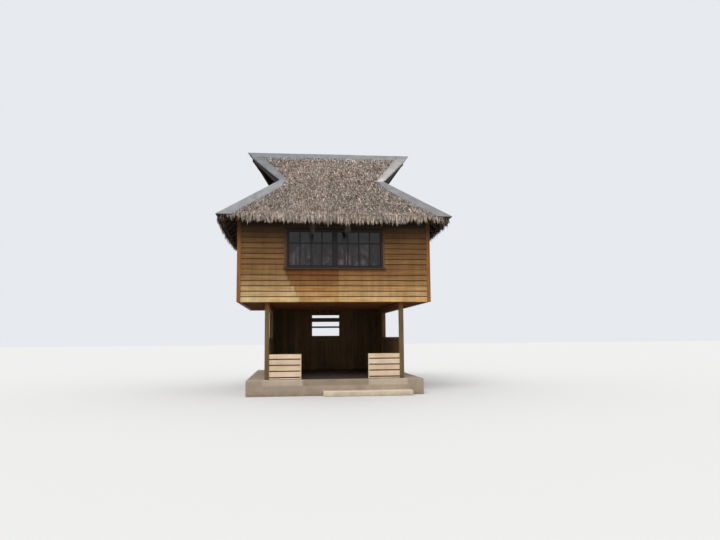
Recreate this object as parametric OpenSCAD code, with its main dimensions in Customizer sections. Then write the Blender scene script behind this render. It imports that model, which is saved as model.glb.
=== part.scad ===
// Two-storey timber house on posts with a thatched hip-and-gable roof.
// Millimetres, +Z up, origin at the middle of the plan at ground level, the front faces -Y.

/* [Plan] */
// Width of the upper storey over its outer faces
body_w = 5200; // [4300:50:6300]
// Depth of the upper storey over its outer faces
body_d = 5200; // [4300:50:6300]
// Distance between the post centres across the front
post_span = 3640; // [3000:20:4000]
// Distance from the front post centres to the middle post centres
front_bay = 3340; // [2600:20:3600]
// Side of the square ground-storey posts
post_size = 120; // [100:5:160]

/* [Floor slab] */
// Height of the concrete floor above the ground
slab_h = 420; // [300:10:600]
// How far the floor slab runs past the posts at the sides
slab_side = 470; // [200:10:600]
// How far the floor slab runs past the posts at the front and rear
slab_end = 300; // [150:10:350]
// Length of the front step
step_len = 2350; // [1500:50:2600]
// Sideways distance of the step's middle from the middle of the house
step_shift = 835; // [0:5:900]
// Tread depth of the front step
step_d = 300; // [250:10:330]
// Height of the front step
step_h = 140; // [110:5:180]

/* [Ground storey] */
// Clear height from the slab to the upper storey's lower edge
clear_h = 2050; // [1900:10:2500]
// Thickness of the ground-storey walls
low_wall_t = 80; // [60:5:100]
// Height of the low walls beside the front doorway
front_low_h = 660; // [500:10:900]
// Clear width of the front doorway between the low walls
doorway_w = 1810; // [1000:10:2200]
// Height of the low walls in the side bays, without the rail
side_low_h = 1050; // [800:10:1200]
// Height of the rail on the side low walls
rail_h = 50; // [30:5:80]
// Width of the ground storey's rear window
rear_opening_w = 1040; // [800:10:1200]
// Height of that window's lower edge above the slab
rear_opening_sill = 980; // [800:10:1100]
// Height of that window
rear_opening_h = 940; // [800:10:950]
// Width of its frame at the sides and the top
rear_frame_w = 50; // [35:5:70]
// Height of its bottom rail
rear_rail_h = 180; // [100:10:200]
// Thickness of its frame and boards
rear_frame_t = 40; // [30:5:60]
// Width of the lower board that crosses it
rear_low_board = 60; // [40:5:80]
// Height of that board above the window's lower edge
rear_low_board_z = 450; // [400:10:500]
// Width of the upper board that crosses it
rear_high_board = 140; // [100:10:160]
// Height of that board above the window's lower edge
rear_high_board_z = 660; // [600:10:680]

/* [Floor frame] */
// Depth of the two main floor girders
girder_h = 180; // [140:10:240]
// Depth of the floor joists
joist_h = 140; // [100:10:180]
// Width of the floor joists
joist_t = 60; // [40:5:80]
// Number of floor joists
joist_n = 10; // [8:1:12]
// Thickness of the upper floor boards
floor_t = 30; // [20:1:40]

/* [Upper walls] */
// Height of the upper walls including the wall plate
wall_h = 2470; // [2300:10:2800]
// Thickness of the upper walls
wall_t = 100; // [80:5:140]
// Height of the wall plate
plate_h = 60; // [40:5:80]
// Width of each face of the corner boards
corner_w = 100; // [80:5:130]
// Thickness of the corner boards
corner_t = 25; // [18:1:35]

/* [Windows] */
// Width of a window over its frame
window_w = 2620; // [1800:20:3200]
// Height of a window over its frame
window_h = 1060; // [860:10:1120]
// Height of the window frames above the upper walls' lower edge
window_sill = 920; // [820:10:960]
// Width of the outer frame members
frame_w = 60; // [45:5:80]
// Width of the middle post of each window
mullion_w = 110; // [70:5:140]
// How far the frames stand proud of the wall
frame_out = 30; // [25:1:45]
// Depth of the frames into the wall
frame_in = 70; // [50:5:80]
// Thickness of the glass
glass_t = 6; // [4:1:10]
// How far the sill boards stand out from the wall
sill_out = 70; // [50:5:90]
// Thickness of the sill boards
sill_t = 40; // [30:5:50]
// Width of the casing boards beside the windows
casing_w = 60; // [40:5:90]
// Thickness of the casing boards
casing_t = 20; // [15:1:25]
// How far the sill boards run past the casings
sill_ear = 20; // [0:5:40]

/* [Roof] */
// Pitch of all four roof slopes in degrees
roof_pitch = 39.4; // [32:0.2:42]
// Overhang of the eaves past the upper walls
eave_out = 520; // [440:10:700]
// Width of the gables at their foot
gable_base = 3000; // [2400:20:3300]
// How far the ridge tips lean out past the foot of the gables
prow_out = 1075; // [700:25:1200]
// Thickness of the thatch square to the slope
thatch_t = 100; // [80:5:130]
// Height of the hanging thatch edge at the eaves
fringe_h = 240; // [200:10:300]
// Thickness of that hanging edge
fringe_t = 110; // [80:5:140]
// How much of the thatch is cut off at each eave corner
corner_cut = 260; // [150:10:320]
// How far the thatch stops short of the ridge tips
tip_gap = 150; // [100:10:200]

/* [Roof timbers] */
// Thickness of the battens that carry the thatch
batten_t = 25; // [20:1:35]
// Width of the battens
batten_w = 45; // [35:5:60]
// Number of battens from the eave to the ridge
batten_n = 9; // [7:1:11]
// Half of the open joint between two battens that meet over a hip
batten_gap = 3; // [2:1:6]
// Depth of the rafters square to the slope
rafter_h = 100; // [80:5:120]
// Thickness of the rafters
rafter_t = 50; // [40:5:60]
// Number of spaces between the rafters across a gable's width
rafter_spaces = 5; // [4:1:6]
// Thickness of the hip and gable-edge rafters
hip_t = 70; // [50:5:80]
// Depth of the notch where the rafters sit on the wall plate
notch = 30; // [20:5:40]
// Thickness of the ridge beam
ridge_t = 60; // [50:5:80]
// Height of the ridge beam
ridge_h = 180; // [150:10:220]
// Thickness of the gable boards
gable_t = 25; // [20:1:35]
// Height of the tie beams
tie_h = 120; // [100:5:140]
// Thickness of the tie beams and king posts
tie_t = 60; // [50:5:80]

/* [Metal caps] */
// Thickness of the folded caps
cap_t = 12; // [8:1:16]
// Width of each wing of the hip caps, measured along the eave
hip_wing = 300; // [240:10:400]
// Length over which the hip caps narrow towards the gable edges, measured along the eave
hip_taper = 400; // [200:20:600]
// Width of the caps on the gable edges at their upper ends, measured along the ridge
rake_wing = 330; // [250:10:400]
// Width of the same caps at their feet
rake_foot_wing = 190; // [150:10:240]
// Width of each wing of the ridge cap, measured level
ridge_wing = 260; // [180:10:300]
// Height of the turned-down lip of the gable-edge caps
rake_lip = 40; // [30:5:60]
// How far the hip caps run past the eaves
cap_out = 30; // [20:5:50]

/* [Hidden] */

// Half sizes of the upper storey and of the space inside its walls
half_w = body_w / 2;
half_d = body_d / 2;
in_w = half_w - wall_t;
in_d = half_d - wall_t;
// Levels from the ground up
wall_z = slab_h + clear_h;
girder_z = wall_z - girder_h;
floor_z = wall_z + joist_h;
plate_top = wall_z + wall_h;
plate_z = plate_top - plate_h;
window_z = wall_z + window_sill;
// Width of each of the two lights of a window
light_w = (window_w - 2 * frame_w - mullion_w) / 2;
// Post centres
post_x = post_span / 2;
post_y_front = -in_d + post_size / 2;
post_y_mid = post_y_front + front_bay;
post_y_rear = in_d - post_size / 2;
// Roof planes: the level of the thatch surface at the eave and how it rises
rise = tan(roof_pitch);
thatch_v = thatch_t / cos(roof_pitch);
rafter_v = rafter_h / cos(roof_pitch);
// Depth of the rafters' top and underside below the thatch surface, measured plumb
deck = thatch_v + batten_t / cos(roof_pitch);
under = deck + rafter_v;
eave_x = half_w + eave_out;
eave_y = half_d + eave_out;
eave_z = plate_top - notch + under - rise * eave_out;
ridge_z = eave_z + rise * eave_y;
// Foot of the gables, where the hips end, and the ridge tips
foot_y = gable_base / 2;
foot_x = eave_x - (eave_y - foot_y);
foot_z = eave_z + rise * (eave_y - foot_y);
tip_x = foot_x + prow_out;
// Centre of the rafter beside each gable and the rafter spacing
gable_rafter_x = foot_x - gable_t - rafter_t / 2;
rafter_pitch_x = 2 * gable_rafter_x / rafter_spaces;
side_rafter_y = foot_y - rafter_t;
rafter_pitch_y = 2 * side_rafter_y / rafter_spaces;
// Lowest rafter ends stay this far inside the hanging thatch edge
tail_x = eave_x - fringe_t;
tail_y = eave_y - fringe_t;
// Width of a batten on the plan, and the batten spacing on the plan
batten_plan = batten_w * cos(roof_pitch);
batten_pitch = (tail_y - batten_plan - ridge_t / 2) / (batten_n - 1);
// Tie beams stand against the inner faces of the gable rafters
tie_x = gable_rafter_x - rafter_t / 2 - tie_t / 2;
// Ridge beam levels
beam_top = ridge_z - deck;
beam_z = beam_top - ridge_h;
// Height that is more than the whole roof, for cutting prisms
tall = ridge_z + 1000;
// Half the thickness of a hip rafter, measured along the eave instead of square to the hip
hip_side = hip_t / sqrt(2);
// Slope of the thatch's leaning edge on the plan, and how far the rafter under it is set back
lean = foot_y / (tip_x - tip_gap - foot_x);
rake_back = hip_t;
// How far the turned-down lip of a gable-edge cap starts above the foot of the gable
lip_start = 65;

concrete = "#b3aaa0";
light_timber = "#c89f72";
plank = "#b27a45";
dark_timber = "#3a2c24";
roof_timber = "#6b5139";
thatch = "#9a8d7e";
metal = "#a9acb0";
glass = [0.25, 0.28, 0.32, 0.5];

// A block from its lowest corner to its highest corner
module block(low, high) {
    translate(low) cube([high[0] - low[0], high[1] - low[1], high[2] - low[2]]);
}

// Both mirror images of the children across the house's middle planes
module both_x() {
    children();
    mirror([1, 0, 0]) children();
}

module both_y() {
    children();
    mirror([0, 1, 0]) children();
}

module all_four() {
    both_x() both_y() children();
}

// Upright prism over a plan outline
module over(outline) {
    linear_extrude(height = tall) polygon(outline);
}

// Rafter-shaped layer between two depths below the surface of the front and rear slopes
module long_layer(top, bottom, half_len, reach) {
    edge = eave_z + rise * (eave_y - reach);
    rotate([90, 0, 90])
        linear_extrude(height = 2 * half_len, center = true)
            polygon([
                [-reach, edge - top], [0, ridge_z - top], [reach, edge - top],
                [reach, edge - bottom], [0, ridge_z - bottom], [-reach, edge - bottom]
            ]);
}

// The same for the left and right slopes, continued up to where they would meet
module end_layer(top, bottom, half_len, reach) {
    edge = eave_z + rise * (eave_x - reach);
    peak = eave_z + rise * eave_x;
    rotate([90, 0, 0])
        linear_extrude(height = 2 * half_len, center = true)
            polygon([
                [-reach, edge - top], [0, peak - top], [reach, edge - top],
                [reach, edge - bottom], [0, peak - bottom], [-reach, edge - bottom]
            ]);
}

// Plan outlines of the front and right slopes
function front_plan(cut, tip) = [
    [-eave_x + cut, -eave_y], [eave_x - cut, -eave_y],
    [eave_x - cut / 2, -eave_y + cut / 2], [foot_x, -foot_y],
    [tip, 0], [-tip, 0],
    [-foot_x, -foot_y], [-eave_x + cut / 2, -eave_y + cut / 2]
];

function right_plan(cut) = [
    [eave_x, -eave_y + cut], [eave_x, eave_y - cut],
    [eave_x - cut / 2, eave_y - cut / 2], [foot_x, foot_y],
    [foot_x, -foot_y], [eave_x - cut / 2, -eave_y + cut / 2]
];

// X of the gable edge on the plan at a distance y from the ridge
function rake_x(y) = tip_x - prow_out * y / foot_y;

// Everything under the surface of the two end slopes and the caps on them
module end_bodies() {
    both_x()
        intersection() {
            end_layer(-cap_t, tall, eave_y, eave_x);
            over(right_plan(0));
        }
}

// Ring of the wall plate, used for the plate itself and for the notches over it
module plate_ring() {
    difference() {
        block([-half_w, -half_d, plate_z], [half_w, half_d, plate_top]);
        block([-in_w, -in_d, plate_z - 1], [in_w, in_d, plate_top + 1]);
    }
}

module floor_slab() {
    x = post_x + post_size / 2 + slab_side;
    y = in_d + slab_end;
    color(concrete) block([-x, -y, 0], [x, y, slab_h]);
}

module front_step() {
    y = in_d + slab_end;
    color(concrete)
        block([step_shift - step_len / 2, -y - step_d, 0], [step_shift + step_len / 2, -y, step_h]);
}

module ground_posts() {
    color(light_timber)
        both_x()
            for (y = [post_y_front, post_y_mid, post_y_rear])
                block([post_x - post_size / 2, y - post_size / 2, slab_h],
                      [post_x + post_size / 2, y + post_size / 2, girder_z]);
}

module front_low_walls() {
    color(light_timber)
        both_x()
            block([doorway_w / 2, post_y_front - low_wall_t / 2, slab_h],
                  [post_x - post_size / 2, post_y_front + low_wall_t / 2, slab_h + front_low_h]);
}

module side_low_walls() {
    color(dark_timber)
        both_x()
            block([post_x - low_wall_t / 2, post_y_front + post_size / 2, slab_h],
                  [post_x + low_wall_t / 2, post_y_mid - post_size / 2, slab_h + side_low_h]);
}

module low_wall_rails() {
    z = slab_h + side_low_h;
    color(dark_timber)
        both_x()
            block([post_x - post_size / 2, post_y_front + post_size / 2, z],
                  [post_x + post_size / 2, post_y_mid - post_size / 2, z + rail_h]);
}

module rear_bay_walls() {
    color(dark_timber)
        both_x()
            block([post_x - low_wall_t / 2, post_y_mid + post_size / 2, slab_h],
                  [post_x + low_wall_t / 2, post_y_rear - post_size / 2, girder_z]);
}

module ground_rear_wall() {
    x = post_x - post_size / 2;
    color(dark_timber)
        difference() {
            block([-x, post_y_rear - low_wall_t / 2, slab_h], [x, post_y_rear + low_wall_t / 2, wall_z]);
            block([-rear_opening_w / 2, post_y_rear - low_wall_t, slab_h + rear_opening_sill],
                  [rear_opening_w / 2, post_y_rear + low_wall_t,
                   slab_h + rear_opening_sill + rear_opening_h]);
        }
}

module ground_rear_window() {
    x = rear_opening_w / 2;
    z = slab_h + rear_opening_sill;
    top = z + rear_opening_h;
    y = post_y_rear - rear_frame_t / 2;
    color(dark_timber) {
        difference() {
            block([-x, y, z], [x, y + rear_frame_t, top]);
            block([-x + rear_frame_w, y - 1, z + rear_rail_h],
                  [x - rear_frame_w, y + rear_frame_t + 1, top - rear_frame_w]);
        }
        block([-x + rear_frame_w, y, z + rear_low_board_z],
              [x - rear_frame_w, y + rear_frame_t, z + rear_low_board_z + rear_low_board]);
        block([-x + rear_frame_w, y, z + rear_high_board_z],
              [x - rear_frame_w, y + rear_frame_t, z + rear_high_board_z + rear_high_board]);
    }
}

module floor_girders() {
    color(roof_timber)
        both_x()
            block([post_x - post_size / 2, -in_d, girder_z], [post_x + post_size / 2, in_d, wall_z]);
}

module floor_joists() {
    pitch = (2 * in_d - joist_t) / (joist_n - 1);
    color(roof_timber)
        for (i = [0 : joist_n - 1])
            block([-in_w, -in_d + i * pitch, wall_z], [in_w, -in_d + i * pitch + joist_t, floor_z]);
}

module upper_floor() {
    color(plank) block([-in_w, -in_d, floor_z], [in_w, in_d, floor_z + floor_t]);
}

// Wall of a given length along X with its outer face at y = 0 and its body behind it
module wall_with_window(len) {
    difference() {
        block([-len / 2, 0, wall_z], [len / 2, wall_t, plate_z]);
        block([-window_w / 2, -1, window_z], [window_w / 2, wall_t + 1, window_z + window_h]);
    }
}

// Frame of one window, its front standing proud of the wall
module window_frame() {
    difference() {
        block([-window_w / 2, -frame_out, window_z], [window_w / 2, frame_in, window_z + window_h]);
        for (side = [-1, 1])
            translate([side * (light_w + mullion_w) / 2, 0, 0])
                block([-light_w / 2, -frame_out - 1, window_z + frame_w],
                      [light_w / 2, frame_in + 1, window_z + window_h - frame_w]);
    }
}

// The two sheets of glass of one window
module glass_pair() {
    y = (frame_in - frame_out) / 2;
    for (side = [-1, 1])
        translate([side * (light_w + mullion_w) / 2, y, 0])
            block([-light_w / 2, -glass_t / 2, window_z + frame_w],
                  [light_w / 2, glass_t / 2, window_z + window_h - frame_w]);
}

// Puts what is drawn for the front at one of the four sides
module at_front() {
    translate([0, -half_d, 0]) children();
}

module at_rear() {
    rotate([0, 0, 180]) translate([0, -half_d, 0]) children();
}

module at_left() {
    rotate([0, 0, -90]) translate([0, -half_w, 0]) children();
}

module at_right() {
    rotate([0, 0, 90]) translate([0, -half_w, 0]) children();
}

module front_wall() {
    color(plank) at_front() wall_with_window(body_w);
}

module rear_wall() {
    color(plank) at_rear() wall_with_window(body_w);
}

module left_wall() {
    color(plank) at_left() wall_with_window(2 * in_d);
}

module right_wall() {
    color(plank) at_right() wall_with_window(2 * in_d);
}

module corner_boards() {
    color(plank)
        all_four()
            difference() {
                block([half_w + corner_t - corner_w, half_d + corner_t - corner_w, wall_z],
                      [half_w + corner_t, half_d + corner_t, plate_z]);
                block([-half_w, -half_d, wall_z - 1], [half_w, half_d, plate_z + 1]);
            }
}

module front_window_frame() {
    color(dark_timber) at_front() window_frame();
}

module rear_window_frame() {
    color(dark_timber) at_rear() window_frame();
}

module left_window_frame() {
    color(dark_timber) at_left() window_frame();
}

module right_window_frame() {
    color(dark_timber) at_right() window_frame();
}

module window_glass() {
    color(glass) {
        at_front() glass_pair();
        at_rear() glass_pair();
        at_left() glass_pair();
        at_right() glass_pair();
    }
}

// Casing boards on the wall beside a window frame
module side_casings() {
    both_x()
        block([window_w / 2, -casing_t, window_z],
              [window_w / 2 + casing_w, 0, window_z + window_h]);
}

module window_casings() {
    color(plank) {
        at_front() side_casings();
        at_rear() side_casings();
        at_left() side_casings();
        at_right() side_casings();
    }
}

// Sill board under a window frame and its casings
module sill_board() {
    x = window_w / 2 + casing_w + sill_ear;
    block([-x, -sill_out, window_z - sill_t], [x, 0, window_z]);
}

module window_sills() {
    color(light_timber) {
        at_front() sill_board();
        at_rear() sill_board();
        at_left() sill_board();
        at_right() sill_board();
    }
}

module wall_plates() {
    color(roof_timber) plate_ring();
}

module tie_beams() {
    color(roof_timber)
        both_x()
            intersection() {
                block([tie_x - tie_t / 2, -half_d, plate_top],
                      [tie_x + tie_t / 2, half_d, plate_top + tie_h]);
                long_layer(deck, tall, tip_x, eave_y);
            }
}

module king_posts() {
    color(roof_timber)
        both_x()
            block([tie_x - tie_t / 2, -ridge_t / 2, plate_top + tie_h],
                  [tie_x + tie_t / 2, ridge_t / 2, beam_z]);
}

// Ridge beam, its ends cut on the slant down to the gable-edge rafters
module ridge_beam() {
    end = tip_x - tip_gap;
    low_end = rake_top_x(rake_back);
    color(roof_timber)
        intersection() {
            rotate([90, 0, 0])
                linear_extrude(height = ridge_t, center = true)
                    polygon([
                        [-low_end, beam_z], [low_end, beam_z], [end, beam_top], [-end, beam_top]
                    ]);
            long_layer(deck, tall, tip_x, eave_y);
        }
}

// Rafters of the front slope, the shorter ones beside the hips included
module slope_rafters_front() {
    jacks = floor((tail_x - hip_t - gable_rafter_x) / rafter_pitch_x);
    difference() {
        intersection() {
            long_layer(deck, under, eave_x, tail_y);
            over([
                [-eave_x + hip_side, -eave_y], [eave_x - hip_side, -eave_y],
                [foot_x, -foot_y - hip_side], [foot_x, -ridge_t / 2],
                [-foot_x, -ridge_t / 2], [-foot_x, -foot_y - hip_side]
            ]);
            for (i = [-jacks : rafter_spaces + jacks])
                translate([-gable_rafter_x + i * rafter_pitch_x, 0, 0])
                    block([-rafter_t / 2, -eave_y, 0], [rafter_t / 2, 0, tall]);
        }
        plate_ring();
    }
}

// Rafters of the right slope, ending at the gable boards and at the hips
module slope_rafters_right() {
    jacks = floor((tail_y - hip_t - side_rafter_y) / rafter_pitch_y);
    difference() {
        intersection() {
            end_layer(deck, under, eave_y, tail_x);
            over([
                [eave_x, -eave_y + hip_side], [eave_x, eave_y - hip_side],
                [foot_x, foot_y - hip_side], [foot_x, -foot_y + hip_side]
            ]);
            for (i = [-jacks : rafter_spaces + jacks])
                translate([0, -side_rafter_y + i * rafter_pitch_y, 0])
                    block([0, -rafter_t / 2, 0], [eave_x, rafter_t / 2, tall]);
        }
        plate_ring();
    }
}

module front_rafters() {
    color(roof_timber) slope_rafters_front();
}

module rear_rafters() {
    color(roof_timber) mirror([0, 1, 0]) slope_rafters_front();
}

module right_rafters() {
    color(roof_timber) slope_rafters_right();
}

module left_rafters() {
    color(roof_timber) mirror([1, 0, 0]) slope_rafters_right();
}

// Hip rafter at the front right corner, its top bevelled to both slopes
module hip_rafter() {
    difference() {
        intersection() {
            long_layer(deck, tall, eave_x, eave_y);
            end_layer(deck, tall, eave_y, eave_x);
            over([
                [tail_x, -tail_y], [tail_x - hip_side, -tail_y],
                [foot_x, -foot_y - hip_side], [foot_x, -foot_y + hip_side],
                [tail_x, -tail_y + hip_side]
            ]);
        }
        intersection() {
            long_layer(under, 2 * tall, eave_x + 1, eave_y + 1);
            end_layer(under, 2 * tall, eave_y + 1, eave_x + 1);
        }
        plate_ring();
    }
}

module hip_rafters() {
    color(roof_timber) all_four() hip_rafter();
}

// X where a line parallel to the leaning edge, shifted back by d, meets the ridge beam
function rake_top_x(d) = foot_x + (foot_y - ridge_t / 2 - d) / lean;

// Rafters under the leaning gable edges, from the foot of each gable to the ridge beam
module rake_rafters() {
    inner = rake_back + hip_t * sqrt(1 + lean * lean);
    color(roof_timber)
        difference() {
            all_four()
                intersection() {
                    long_layer(deck, under, tip_x, eave_y);
                    over([
                        [foot_x, -foot_y + rake_back], [rake_top_x(rake_back), -ridge_t / 2],
                        [rake_top_x(inner), -ridge_t / 2], [foot_x, -foot_y + inner]
                    ]);
                }
            end_bodies();
        }
}

// Battens of one slope as rows of blocks along X, the lowest beside the rafter tails
module batten_rows(half_len, rows) {
    for (i = [0 : rows - 1])
        translate([0, -tail_y + i * batten_pitch, 0])
            block([-half_len, 0, 0], [half_len, batten_plan, tall]);
}

// Battens of the front slope, cut off along the hips and the leaning gable edges
module slope_battens_front() {
    difference() {
        intersection() {
            long_layer(thatch_v, deck, eave_x, eave_y);
            over([
                [-eave_x + batten_gap, -eave_y], [eave_x - batten_gap, -eave_y],
                [foot_x, -foot_y - batten_gap], [foot_x, -foot_y + rake_back],
                [rake_top_x(rake_back), -ridge_t / 2], [-rake_top_x(rake_back), -ridge_t / 2],
                [-foot_x, -foot_y + rake_back], [-foot_x, -foot_y - batten_gap]
            ]);
            batten_rows(eave_x, batten_n);
        }
        end_bodies();
    }
}

// Battens of the right slope, from the eave up to the gable boards
module slope_battens_right() {
    rows = 1 + floor((tail_x - foot_x - batten_plan) / batten_pitch);
    intersection() {
        end_layer(thatch_v, deck, eave_y, eave_x);
        over([
            [eave_x, -eave_y + batten_gap], [eave_x, eave_y - batten_gap],
            [foot_x, foot_y - batten_gap], [foot_x, -foot_y + batten_gap]
        ]);
        translate([tail_x - tail_y, 0, 0]) rotate([0, 0, 90]) batten_rows(eave_y, rows);
    }
}

module thatch_battens() {
    color(roof_timber) {
        both_y() slope_battens_front();
        both_x() slope_battens_right();
    }
}

// Thatch of the front slope with its hanging edge
module slope_thatch_front() {
    difference() {
        intersection() {
            union() {
                long_layer(0, thatch_v, eave_x, eave_y);
                block([-eave_x, -eave_y, eave_z - fringe_h], [eave_x, -eave_y + fringe_t, eave_z]);
            }
            over(front_plan(corner_cut, tip_x - tip_gap));
        }
        end_bodies();
    }
}

// Thatch of the right slope with its hanging edge
module slope_thatch_right() {
    intersection() {
        union() {
            end_layer(0, thatch_v, eave_y, eave_x);
            block([eave_x - fringe_t, -eave_y, eave_z - fringe_h], [eave_x, eave_y, eave_z]);
        }
        over(right_plan(corner_cut));
    }
}

module front_thatch() {
    color(thatch) slope_thatch_front();
}

module rear_thatch() {
    color(thatch) mirror([0, 1, 0]) slope_thatch_front();
}

module right_thatch() {
    color(thatch) slope_thatch_right();
}

module left_thatch() {
    color(thatch) mirror([1, 0, 0]) slope_thatch_right();
}

// Board wall closing the gable, set back under the leaning roof edge
module gable_wall() {
    difference() {
        intersection() {
            block([foot_x - gable_t, -foot_y, foot_z - under - gable_t], [foot_x, foot_y, beam_top]);
            long_layer(thatch_v, tall, tip_x, eave_y);
        }
        block([0, -ridge_t / 2, beam_z], [tip_x, ridge_t / 2, beam_top]);
        both_y() slope_battens_front();
    }
}

module gable_walls() {
    color(dark_timber) both_x() gable_wall();
}

// Folded cap along the ridge, cut at its ends along the gable edges
module ridge_cap() {
    x = rake_x(ridge_wing);
    color(metal)
        intersection() {
            long_layer(-cap_t, 0, tip_x, eave_y);
            over([
                [-x, -ridge_wing], [x, -ridge_wing], [tip_x, 0],
                [x, ridge_wing], [-x, ridge_wing], [-tip_x, 0]
            ]);
        }
}

// Cap on a leaning gable edge: a flat wing and a turned-down lip
module rake_cap() {
    x = rake_x(ridge_wing);
    lip_y = foot_y - lip_start;
    union() {
        intersection() {
            long_layer(-cap_t, 0, tip_x, eave_y);
            over([
                [foot_x - rake_foot_wing, -foot_y], [foot_x, -foot_y],
                [x, -ridge_wing], [x - rake_wing, -ridge_wing]
            ]);
        }
        intersection() {
            long_layer(-cap_t, rake_lip, tip_x + cap_t, eave_y);
            over([
                [rake_x(lip_y), -lip_y], [rake_x(lip_y) + cap_t, -lip_y],
                [x + cap_t, -ridge_wing], [x, -ridge_wing]
            ]);
        }
    }
}

module rake_caps() {
    color(metal) all_four() rake_cap();
}

// Cap over a hip, with a wing on each slope that narrows to the width of the gable edge's cap
module hip_cap() {
    corner_x = eave_x + cap_out;
    corner_y = eave_y + cap_out;
    difference() {
        intersection() {
            long_layer(-cap_t, tall, corner_x, corner_y);
            end_layer(-cap_t, tall, corner_y, corner_x);
            over([
                [corner_x, -corner_y], [corner_x, -corner_y + hip_wing],
                [foot_x + hip_taper, -foot_y - hip_taper + hip_wing],
                [foot_x, -foot_y + rake_foot_wing], [foot_x, -foot_y],
                [foot_x - rake_foot_wing, -foot_y],
                [foot_x + hip_taper - hip_wing, -foot_y - hip_taper],
                [corner_x - hip_wing, -corner_y]
            ]);
        }
        intersection() {
            long_layer(0, 2 * tall, corner_x + 1, corner_y + 1);
            end_layer(0, 2 * tall, corner_y + 1, corner_x + 1);
        }
    }
}

module hip_caps() {
    color(metal) all_four() hip_cap();
}

floor_slab();
front_step();
ground_posts();
front_low_walls();
side_low_walls();
low_wall_rails();
rear_bay_walls();
ground_rear_wall();
ground_rear_window();
floor_girders();
floor_joists();
upper_floor();
front_wall();
rear_wall();
left_wall();
right_wall();
corner_boards();
front_window_frame();
rear_window_frame();
left_window_frame();
right_window_frame();
window_glass();
window_casings();
window_sills();
wall_plates();
tie_beams();
king_posts();
ridge_beam();
hip_rafters();
rake_rafters();
thatch_battens();
front_rafters();
rear_rafters();
left_rafters();
right_rafters();
front_thatch();
rear_thatch();
left_thatch();
right_thatch();
gable_walls();
ridge_cap();
rake_caps();
hip_caps();
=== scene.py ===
"""Looks of the thatched house on posts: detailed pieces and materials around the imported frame."""

import math
from itertools import pairwise
from types import SimpleNamespace

import bmesh
import bpy
import numpy as np
from mathutils import Matrix, Vector, noise


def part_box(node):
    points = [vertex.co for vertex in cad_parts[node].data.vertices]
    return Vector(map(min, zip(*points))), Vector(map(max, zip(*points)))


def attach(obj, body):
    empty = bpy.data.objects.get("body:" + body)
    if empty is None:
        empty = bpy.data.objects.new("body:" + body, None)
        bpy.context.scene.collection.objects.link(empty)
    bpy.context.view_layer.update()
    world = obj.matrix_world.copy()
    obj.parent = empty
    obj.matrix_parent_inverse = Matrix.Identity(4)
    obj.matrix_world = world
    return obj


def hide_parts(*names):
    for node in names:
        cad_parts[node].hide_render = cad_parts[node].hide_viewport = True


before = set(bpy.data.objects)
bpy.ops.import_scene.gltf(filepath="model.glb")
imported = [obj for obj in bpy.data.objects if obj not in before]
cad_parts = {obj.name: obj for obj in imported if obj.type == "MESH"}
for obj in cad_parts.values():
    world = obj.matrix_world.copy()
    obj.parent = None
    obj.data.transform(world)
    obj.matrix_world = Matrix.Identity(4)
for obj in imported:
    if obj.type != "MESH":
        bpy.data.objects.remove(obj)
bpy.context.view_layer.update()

# The photograph's viewpoint, in metres and radians.
CAMERA_AT = (-1.113, -19.305, 1.52)
CAMERA_YAW, CAMERA_PITCH, CAMERA_ROLL = 0.107, 0.108, 0.008
LENS_MM, SENSOR_MM = 31.0, 36.0
# The lamp and the dome, and their colours and the floor's: those that light the house, and those that show.
LAMP_POWER, LAMP_WIDE, LAMP_TURN = 1.3, math.radians(35), (math.radians(42), 0, math.radians(-22))
DOME_POWER, SKY_SHOWN = 0.78, (0.80, 0.82, 0.86, 1)
FLOOR_LIT, FLOOR_SHOWN, FLOOR_HALF = (0.30, 0.30, 0.29, 1), (0.80, 0.80, 0.79, 1), 120.0


def linked(name, data):
    made = bpy.data.objects.new(name, data)
    bpy.context.scene.collection.objects.link(made)
    return made


def make_camera():
    data = bpy.data.cameras.new("camera")
    data.lens, data.sensor_width, data.clip_end = LENS_MM, SENSOR_MM, 500
    camera = linked("camera", data)
    turn = Matrix.Rotation(-CAMERA_YAW, 4, "Z") @ Matrix.Rotation(math.pi / 2 + CAMERA_PITCH, 4, "X")
    camera.matrix_world = Matrix.Translation(CAMERA_AT) @ turn @ Matrix.Rotation(-CAMERA_ROLL, 4, "Z")
    bpy.context.scene.camera = camera


def linear(colour):
    """A colour written in the usual 0 to 255 steps, as the shaders want it."""
    steps = np.array(colour) / 255
    return (*np.where(steps <= 0.04045, steps / 12.92, ((steps + 0.055) / 1.055) ** 2.4), 1.0)


class Nodes:
    """A node tree, put together node by node."""

    def __init__(self, tree):
        self.tree = tree

    def fill(self, node, inputs):
        for key, value in inputs.items():
            if isinstance(value, bpy.types.NodeSocket):
                self.tree.links.new(value, node.inputs[key])
            else:
                node.inputs[key].default_value = value

    def node(self, kind, inputs=None, **settings):
        made = self.tree.nodes.new("ShaderNode" + kind)
        for key, value in settings.items():
            setattr(made, key, value)
        self.fill(made, inputs or {})
        return made

    def math(self, operation, first, second=0.0):
        return self.node("Math", {0: first, 1: second}, operation=operation).outputs[0]

    def seen(self):
        """1 for rays that show a thing to the camera, 0 for those that only carry its light."""
        rays = self.node("LightPath").outputs
        seen = self.math("MAXIMUM", rays["Is Camera Ray"], rays["Is Glossy Ray"])
        return self.math("MAXIMUM", seen, rays["Is Transmission Ray"])

    def mix(self, factor, first, second, blend="MIX"):
        inputs = {0: factor, 6: first, 7: second}
        return self.node("Mix", inputs, data_type="RGBA", blend_type=blend).outputs[2]


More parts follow.
